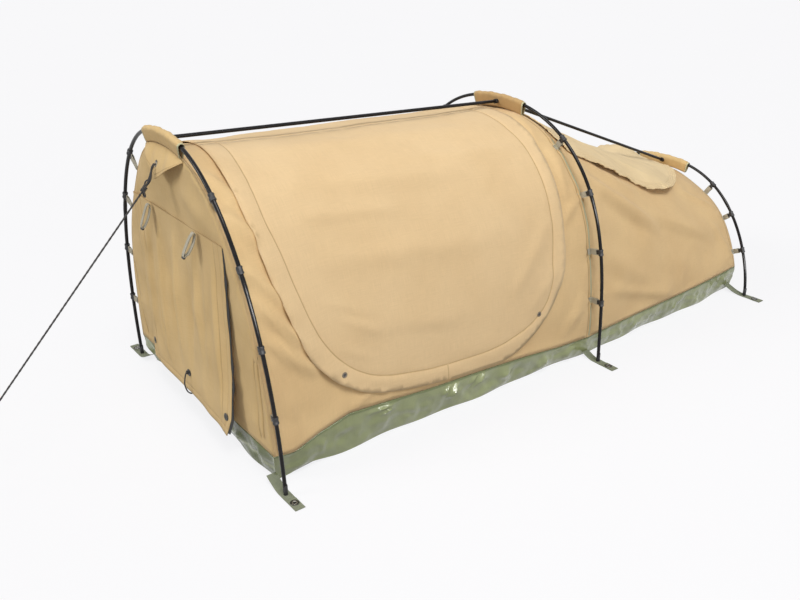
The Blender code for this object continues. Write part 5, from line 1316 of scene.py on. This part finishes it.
sleeve = {"half": 0.120, "around": 27, "gap": 0.0030, "radius": 0.0104, "crown": 0.0092, "hem": 0.113,
          "thickness": 0.0016}


def hoopPlace(hoop, halfSpan):      # a pole's centre at -halfSpan, its run, the way in to the canvas
    line = hoopHalf(hoop, count=900)
    k = int(np.clip(np.searchsorted(line[:, 1], -halfSpan), 1, len(line) - 1))
    share = (-halfSpan - line[k - 1, 1]) / max(line[k, 1] - line[k - 1, 1], 1e-9)
    centre = line[k - 1] + share * (line[k] - line[k - 1])
    run = unit(line[k] - line[k - 1])
    cloth = hoopHalf(hoop, sideGap, hoop["drop"], 900)
    inward = cloth[int(np.argmin(np.linalg.norm(cloth - centre, axis=1)))] - centre
    return centre, run, inward - run * (inward @ run)


def buildSleeve(name, seed):      # cloth folded over a hoop's crown and sewn to the roof
    hoop = hoops[name]
    back = unit(np.array((1.0, 0.0, hoop["tilt"] / hoop["height"])))
    half, around, radius = sleeve["half"], sleeve["around"], sleeve["radius"]
    spans = np.concatenate([np.linspace(half, 0, 26), -np.linspace(0, half, 26)[1:]])
    phases = np.random.RandomState(seed).uniform(0, 6.28, 6)
    points, uv, sewn = [], [], []
    for span in spans:
        centre, run, inward = hoopPlace(hoop, abs(span))
        if span < 0:
            centre, inward = centre * [1, -1, 1], inward * [1, -1, 1]
        leg = np.linalg.norm(inward) - 0.0006
        inward = unit(inward)
        flare = 1 - 0.24 * (abs(span) / half) ** 10
        line = max(0.0, 1 - abs(abs(span) - sleeve["hem"]) / 0.003)
        for j in range(around):
            t = j / (around - 1)
            over = 0.25 < t < 0.75
            wave = 0.0008 * math.sin(span * 95 + phases[0] + 2 * t) \
                + 0.0006 * math.sin(span * 210 + phases[1] + 7 * t)
            if over:      # round the pole
                down = -sleeve["crown"] * math.sin(math.pi * (t - 0.25) / 0.5)
                wide = -radius * math.cos(math.pi * (t - 0.25) / 0.5)
            else:      # one of the two legs
                s = min(t, 1 - t) / 0.25
                down = leg * (1 - s)
                wide = math.copysign(sleeve["gap"] + (radius - sleeve["gap"]) * s ** 0.7, t - 0.5)
            wide *= flare * (1 + wave * 60)
            points.append(centre + back * wide + inward * (down - wave * over))
            uv.append((span, t * 0.11))
            sewn.append(max(0.6 * line, 0.7 if t in (0.0, 1.0) else 0.0))
    rows = len(spans)
    # the middle sleeve's darker cloth is painted shade
    cover = shadedSleeveCanvas if name == "middle" else shadedWallCanvas
    bound = np.repeat([1] + [0] * (rows - 3) + [1], around - 1)      # taped ends
    cloth = addMesh(name + "_sleeve_cloth", points, gridFaces(rows, around), [cover, seamTape],
                    np.array(uv), np.array(sewn), bound)
    turnTo(cloth, (rows // 2) * (around - 1) + around // 2, (0, 0, 1))
    thicken(cloth, sleeve["thickness"], 1.0)
    tell(cloth, name + "_sleeve", "shelter")


clip = {"body": ((0.0, 0.0062), (0.04, 0.0080), (0.22, 0.0086), (0.30, 0.0076), (0.70, 0.0076),
                 (0.78, 0.0086), (0.96, 0.0080), (1.0, 0.0062)),
        "arm": ((0.0060, 0.0), (0.0100, 0.0016), (0.0150, 0.0018), (0.0185, 0.0006),
                (0.0192, -0.0018), (0.0170, -0.0034), (0.0145, -0.0034)),
        "bar": 0.0150, "strapWidth": 0.0190}


def buildClip(label, side, name, index, share):      # a plastic hook on the pole and its sewn strap
    hoop = hoops[name]
    flip = np.array([1.0, side, 1.0])
    centre, run, inward = (part * flip for part in hoopPlace(hoop, share * hoop["half"]))
    reach = float(np.linalg.norm(inward)) - 0.0004
    x = unit(inward)
    y = np.cross(run, x)

    def at(a, b, c=0.0):
        return centre + x * a + y * b + run * c

    parts = Parts(nylon, webbing)
    parts.lathe(at(0, 0, -0.0105), at(0, 0, 0.0105), clip["body"], nylon, 24)
    parts.ribbon(smoothLine([at(*spot) for spot in clip["arm"]], 5), run, 0.0135, 0.0026, nylon)
    lean = 0.0012 * math.sin(7.0 * index + side)
    if (label, name) == ("far", "head") or name == "foot":      # straps left slack
        start = 0.0 if name == "head" else totalLength
        edge = np.stack([np.full(600, start), np.linspace(0, girthLength, 600)], axis=1)
        place = int(np.argmin(np.linalg.norm(onCanvas(edge)[0] - at(reach, 0), axis=1)))
        reach += float(shellPull(edge[place:place + 1])[0])
    drift = np.array((0.020, 0.0, 0.0)) - run * 0.012 if (label, name) == ("near", "head") else 0.0
    bar = clip["bar"]
    strap = smoothLine([at(*spot) for spot in (
        (reach, 0.0010), (reach - 0.006, 0.0014 + lean), ((reach + bar) / 2, 0.0024 + lean),
        (bar + 0.004, 0.0026), (bar, 0.0010), (bar - 0.0012, -0.0012), (bar + 0.002, -0.0030),
        (bar + 0.006, -0.0028), ((reach + bar) / 2, -0.0006 + lean), (reach - 0.004, -0.0008))], 5)
    sewnShare = clip01(((strap - centre) @ x - bar) / (reach - bar))[:, None]
    parts.ribbon(strap + sewnShare * drift, run, clip["strapWidth"], 0.0013, webbing)
    foot = smoothLine([at(reach - 0.0035, 0.0010), at(reach - 0.0010, 0.0024),
                       at(reach - 0.0008, 0.0080), at(reach - 0.0008, 0.0120)], 4)
    parts.ribbon(foot + drift, run, clip["strapWidth"], 0.0012, webbing)
    node = label + "_" + name + "_clip_" + str(index + 1)
    parts.make(node + "_strap", "shelter", "grey_webbing", node)


for seed, name in enumerate(hoops):
    buildSleeve(name, 50 + seed)
for name, hoop in hoops.items():
    for index, share in enumerate(hoop["clips"]):
        for label, side in sides:
            buildClip(label, side, name, index, share)
stageNote("sleeves and clips")

tab = {"width": 0.0294, "thickness": 0.0014, "eyeletOut": 0.045, "climb": 0.024}


def buildTab(label, side, name):      # a webbing tab with a pin eyelet and a peg eyelet
    hoop = hoops[name]
    low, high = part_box(label + "_" + name + "_tab")
    inner, outer = min(abs(low.y), abs(high.y)) - 0.0002, max(abs(low.y), abs(high.y))
    ys = np.linspace(inner, outer - 0.0004, 26)
    rise = 0.0006 * np.sin((ys - inner) * 70) * clip01((ys - inner) / 0.02)
    climb = tab["climb"] * clip01(1 - (ys - inner) / (hoop["half"] - inner - 0.012)) ** 1.6
    path = np.stack([np.full(26, hoop["x"]), -side * ys, 0.0013 + np.abs(rise) + climb], axis=1)
    parts = Parts(sageWeb, brightRing, nylon, blackRing)
    parts.ribbon(path, (1.0, 0, 0), np.where(ys < inner + 0.02, 0.0300, tab["width"]), tab["thickness"],
                 sageWeb)
    fold = path[ys > outer - 0.052] + np.array((0, 0, 0.0013))
    parts.ribbon(fold, (1.0, 0, 0), 0.0286, 0.0011, sageWeb)
    centre = np.array((hoop["x"], -side * (hoop["half"] + tab["eyeletOut"]), 0.0042))
    parts.ring(centre, (0, 0, 1), 0.0064, 0.0019, brightRing, 0.55)
    parts.ring(centre, (0, 0, 1), 0.0102, 0.0022, blackRing, 0.5)
    # a black disc in the peg eyelet stands for its hole: painted shade
    parts.lathe(centre - (0, 0, 0.0010), centre - (0, 0, 0.0004), ((0, 0.0056), (1, 0.0056)), nylon, 20)
    parts.ring((hoop["x"], -side * hoop["half"], 0.0024), (0, 0, 1), 0.0050, 0.0011, blackRing, 0.6)
    parts.make(label + "_" + name + "_tab_strap", "shelter", "green_pvc", label + "_" + name + "_tab")


for name in hoops:
    for label, side in sides:
        buildTab(label, side, name)

tub = {"columns": 400, "rows": 23, "marks": 210, "thickness": 0.0012, "tuckedIn": 0.030,
       "crumples": ((0.300, 0.110, 0.425, 0.120, 0.0065, 0.0130, 0.5),
                    (0.345, 0.094, 0.405, 0.106, 0.0055, 0.0095, 0.5),
                    (0.594, 0.050, 0.646, 0.114, 0.0070, 0.0140, 0.5),
                    (0.576, 0.070, 0.616, 0.112, 0.0055, 0.0100, 0.5),
                    (0.700, 0.050, 0.752, 0.114, 0.0070, 0.0140, 0.5),
                    (0.680, 0.070, 0.720, 0.112, 0.0055, 0.0100, 0.5))}


def buildTub():      # waterproof floor whose sides rise to the canvas's seam
    flip = np.array([1.0, -1.0, 1.0])
    along = np.linspace(0, totalLength, tub["columns"])
    near, _ = onCanvas(np.stack([along, np.zeros(len(along))], axis=1))
    near[:, 2] -= 0.0012
    length = near[-1, 0] - near[0, 0]
    share = (near[:, 0] - near[0, 0]) / length
    floor = np.stack([near[0, 0] + 0.020 + share * (length - 0.020 + 0.030), near[:, 1] + 0.028,
                      0.012 * hump(share - 0.045, 0.03)], axis=1)
    foot = evenly(np.array([near[-1], near[-1] * flip]), 0.010)[1:-1]
    head = evenly(np.array([near[0] * flip, near[0]]), 0.010)[1:-1]
    top = np.vstack([near, foot, (near * flip)[::-1], head])

    def between(start, end, count):
        return [start + (end - start) * (k + 1) / (count + 1) for k in range(count)]

    low = np.vstack([floor, between(floor[-1], floor[-1] * flip, len(foot)), (floor * flip)[::-1],
                     between(floor[0] * flip, floor[0], len(head))])
    count, rows = len(top), tub["rows"]
    around = reachOf(top)
    run = np.roll(top, -1, axis=0) - np.roll(top, 1, axis=0)
    out = unit(np.stack([run[:, 1], -run[:, 0], np.zeros(count)], axis=1))
    for _ in range(6):      # turns softly round the corners
        out = unit(out + np.roll(out, 1, axis=0) + np.roll(out, -1, axis=0))
    if np.sum(out * (top - top.mean(axis=0))) < 0:
        out = -out
    rng = np.random.RandomState(9)
    marks = [(s, rng.uniform(0.0, 0.10), s + rng.uniform(-0.05, 0.05), rng.uniform(0.0, 0.10),
              rng.uniform(0.008, 0.020), rng.uniform(-0.0050, 0.0062), 0.7)
             for s in rng.uniform(0, around[-1], tub["marks"])]
    marks += tub["crumples"]
    tucked = clip01((-0.98 - low[:, 0]) / 0.04) * clip01((0.43 - low[:, 1]) / 0.10) \
        * clip01((low[:, 1] + 0.12) / 0.08)
    behind = (np.arange(count) >= count - len(head)) * clip01((-0.06 - low[:, 1]) / 0.06)
    shade = np.maximum(0.30 * clip01(1 - around / 0.42),      # darker towards the head end along the near side, and painted shade on the head-end strip under the window flap
                       0.80 * behind * clip01((low[:, 1] + 0.46) / 0.05))
    tall = np.linalg.norm(top - low, axis=1)
    wander = 0.010 * np.sin(around * 11.0) + 0.006 * np.sin(around * 27.0 + 1)
    points, uv, sewn = [], [], []
    for i, t in enumerate(np.arange(rows) / (rows - 1)):
        flat = np.stack([around, tall * (1 - t)], axis=1)
        ends = max(math.sin(math.pi * t), 0.0)
        move = (creases(flat, marks) + ripple(flat, 61, 0.11, 0.0028) + ripple(flat, 62, 0.04, 0.0009)) \
            * ends ** 0.5
        move += 0.0045 * ends ** 1.2 + wander * max(t - 0.5, 0.0)
        row = top * (1 - t) + low * t + out * move[:, None]
        row[:, 0] += tub["tuckedIn"] * tucked * t ** 0.7
        row[:, 2] = np.maximum(row[:, 2], 0.0004)
        fold = 1 - 0.9 * behind * hump(t - 0.58, 0.07)      # painted shade in two dark folds on that strip, with a painted lit ridge between them
        points.append(row)
        uv.append(flat)
        # the seam attribute holds the stitched top rows and the painted shade
        sewn.append(np.maximum(shade * fold, 0.6 if i < 2 else 0.0))
    faces = gridFaces(rows, count, wrapColumns=True, turned=True)
    faces.append(tuple((rows - 1) * count + k for k in range(count)))
    made = addMesh("tub_shell", np.concatenate(points), faces, [pvc], np.concatenate(uv),
                   np.concatenate(sewn))
    made.data.set_sharp_from_angle(angle=math.radians(60))
    faceOut(made, 0, lambda f: f.calc_area(), -1)
    thicken(made, tub["thickness"], -1.0)
    tell(made, "tub", "shelter")


buildTub()
stageNote("tub and tabs")

mattress = {"corner": 0.045, "inset": 0.006, "step": 0.022, "crown": 0.0040, "quilt": 0.0028,
            "quiltPitch": 0.17, "piping": 0.0024, "topShare": 0.93,
            "side": ((0.004, 0.0), (0.0, 0.10), (-0.004, 0.28), (-0.005, 0.5), (-0.004, 0.72),
                     (0.0, 0.86), (0.004, 0.93))}


def buildMattress():      # foam in a zipped cover: crowned top, piped edges, shallow quilt lines
    low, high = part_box("mattress")
    centre = (low + high) / 2
    place = np.array((centre.x, centre.y, low.z))
    halfX, halfY, tall = (high.x - low.x) / 2, (high.y - low.y) / 2, high.z - low.z
    corner = mattress["corner"]
    turned = corner - mattress["inset"]
    outline = evenly(np.array([(cx * (halfX - corner) + turned * math.cos(math.radians(first + 90 * k / 8)),
                                cy * (halfY - corner) + turned * math.sin(math.radians(first + 90 * k / 8)))
                               for cx, cy, first in ((1, -1, -90), (1, 1, 0), (-1, 1, 90), (-1, -1, 180))
                               for k in range(9)]), mattress["step"], closed=True)
    count = len(outline)
    away = unit(outline - outline.mean(axis=0))
    wave = 0.0012 * np.sin(np.arange(count) * 0.9)
    rows = [np.column_stack([outline - away * inset + away * wave[:, None], np.full(count, share * tall)])
            for inset, share in mattress["side"]]
    around = np.arange(count) * mattress["step"]
    uv = np.concatenate([np.column_stack([around, np.full(count, s * tall)]) for _, s in mattress["side"]])
    parts = Parts(coverCloth, webbing)
    parts.add(np.concatenate(rows) + place, gridFaces(len(rows), count, wrapColumns=True), coverCloth, uv)
    for level, top in ((mattress["topShare"], True), (0.0, False)):
        flat, faces = cutCloth(rows[-1 if top else 0][:, :2], 0.026)
        edge = nearLine(flat, np.vstack([rows[0][:, :2], rows[0][:1, :2]]))[0]
        pitch = mattress["quiltPitch"] / math.pi
        lines = np.abs(np.sin(flat[:, 0] / pitch)) ** 0.35 \
            * np.abs(np.sin((flat[:, 1] + 0.085) / pitch)) ** 0.35
        swell = mattress["crown"] * clip01(edge / 0.10) ** 0.5 \
            + mattress["quilt"] * (lines - 1) * clip01(edge / 0.05)
        surface = np.column_stack([flat, level * tall + swell * top]) + place
        parts.add(surface, faces if top else faces[:, ::-1], coverCloth, flat)
    for level in (mattress["topShare"], 0.05):
        line = np.column_stack([outline, np.full(count, level * tall)]) + place
        parts.tube(line, mattress["piping"], webbing, 8, closed=True)
    pad = parts.make("mattress_pad", "shelter", "mattress_cover", "mattress")


buildMattress()
stageNote("mattress")

roofHook = {"web": ((-0.001, 0, 0), (0, 0.35, 0), (0.0012, 0.7, 0), (0.003, 0.95, 0)),
            "hook": ((0.002, 0.72, 0), (0.004, 1, 0), (0.008, 1, 0.001), (0.0105, 0.86, 0),
                     (0.0095, 0.70, 0))}


def buildRoofHook():      # webbing hook on the roof, under the foot ridge pole
    low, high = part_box("roof_hook")
    base = np.array((low.x + 0.002, 0.0, low.z + 0.0008))
    tall = high.z - low.z - 0.003
    parts = Parts(webbing, nylon)
    for line, width, thickness, material in ((roofHook["web"], 0.0130, 0.0016, webbing),
                                             (roofHook["hook"], 0.0120, 0.0028, nylon)):
        spots = [base + (x, 0, tall * share + lift) for x, share, lift in line]
        parts.ribbon(smoothLine(spots, 6), (0, 1.0, 0), width, thickness, material)
    parts.make("roof_hook_web", "shelter", "black_plastic", "roof_hook")


buildRoofHook()
stageNote("roof hook")
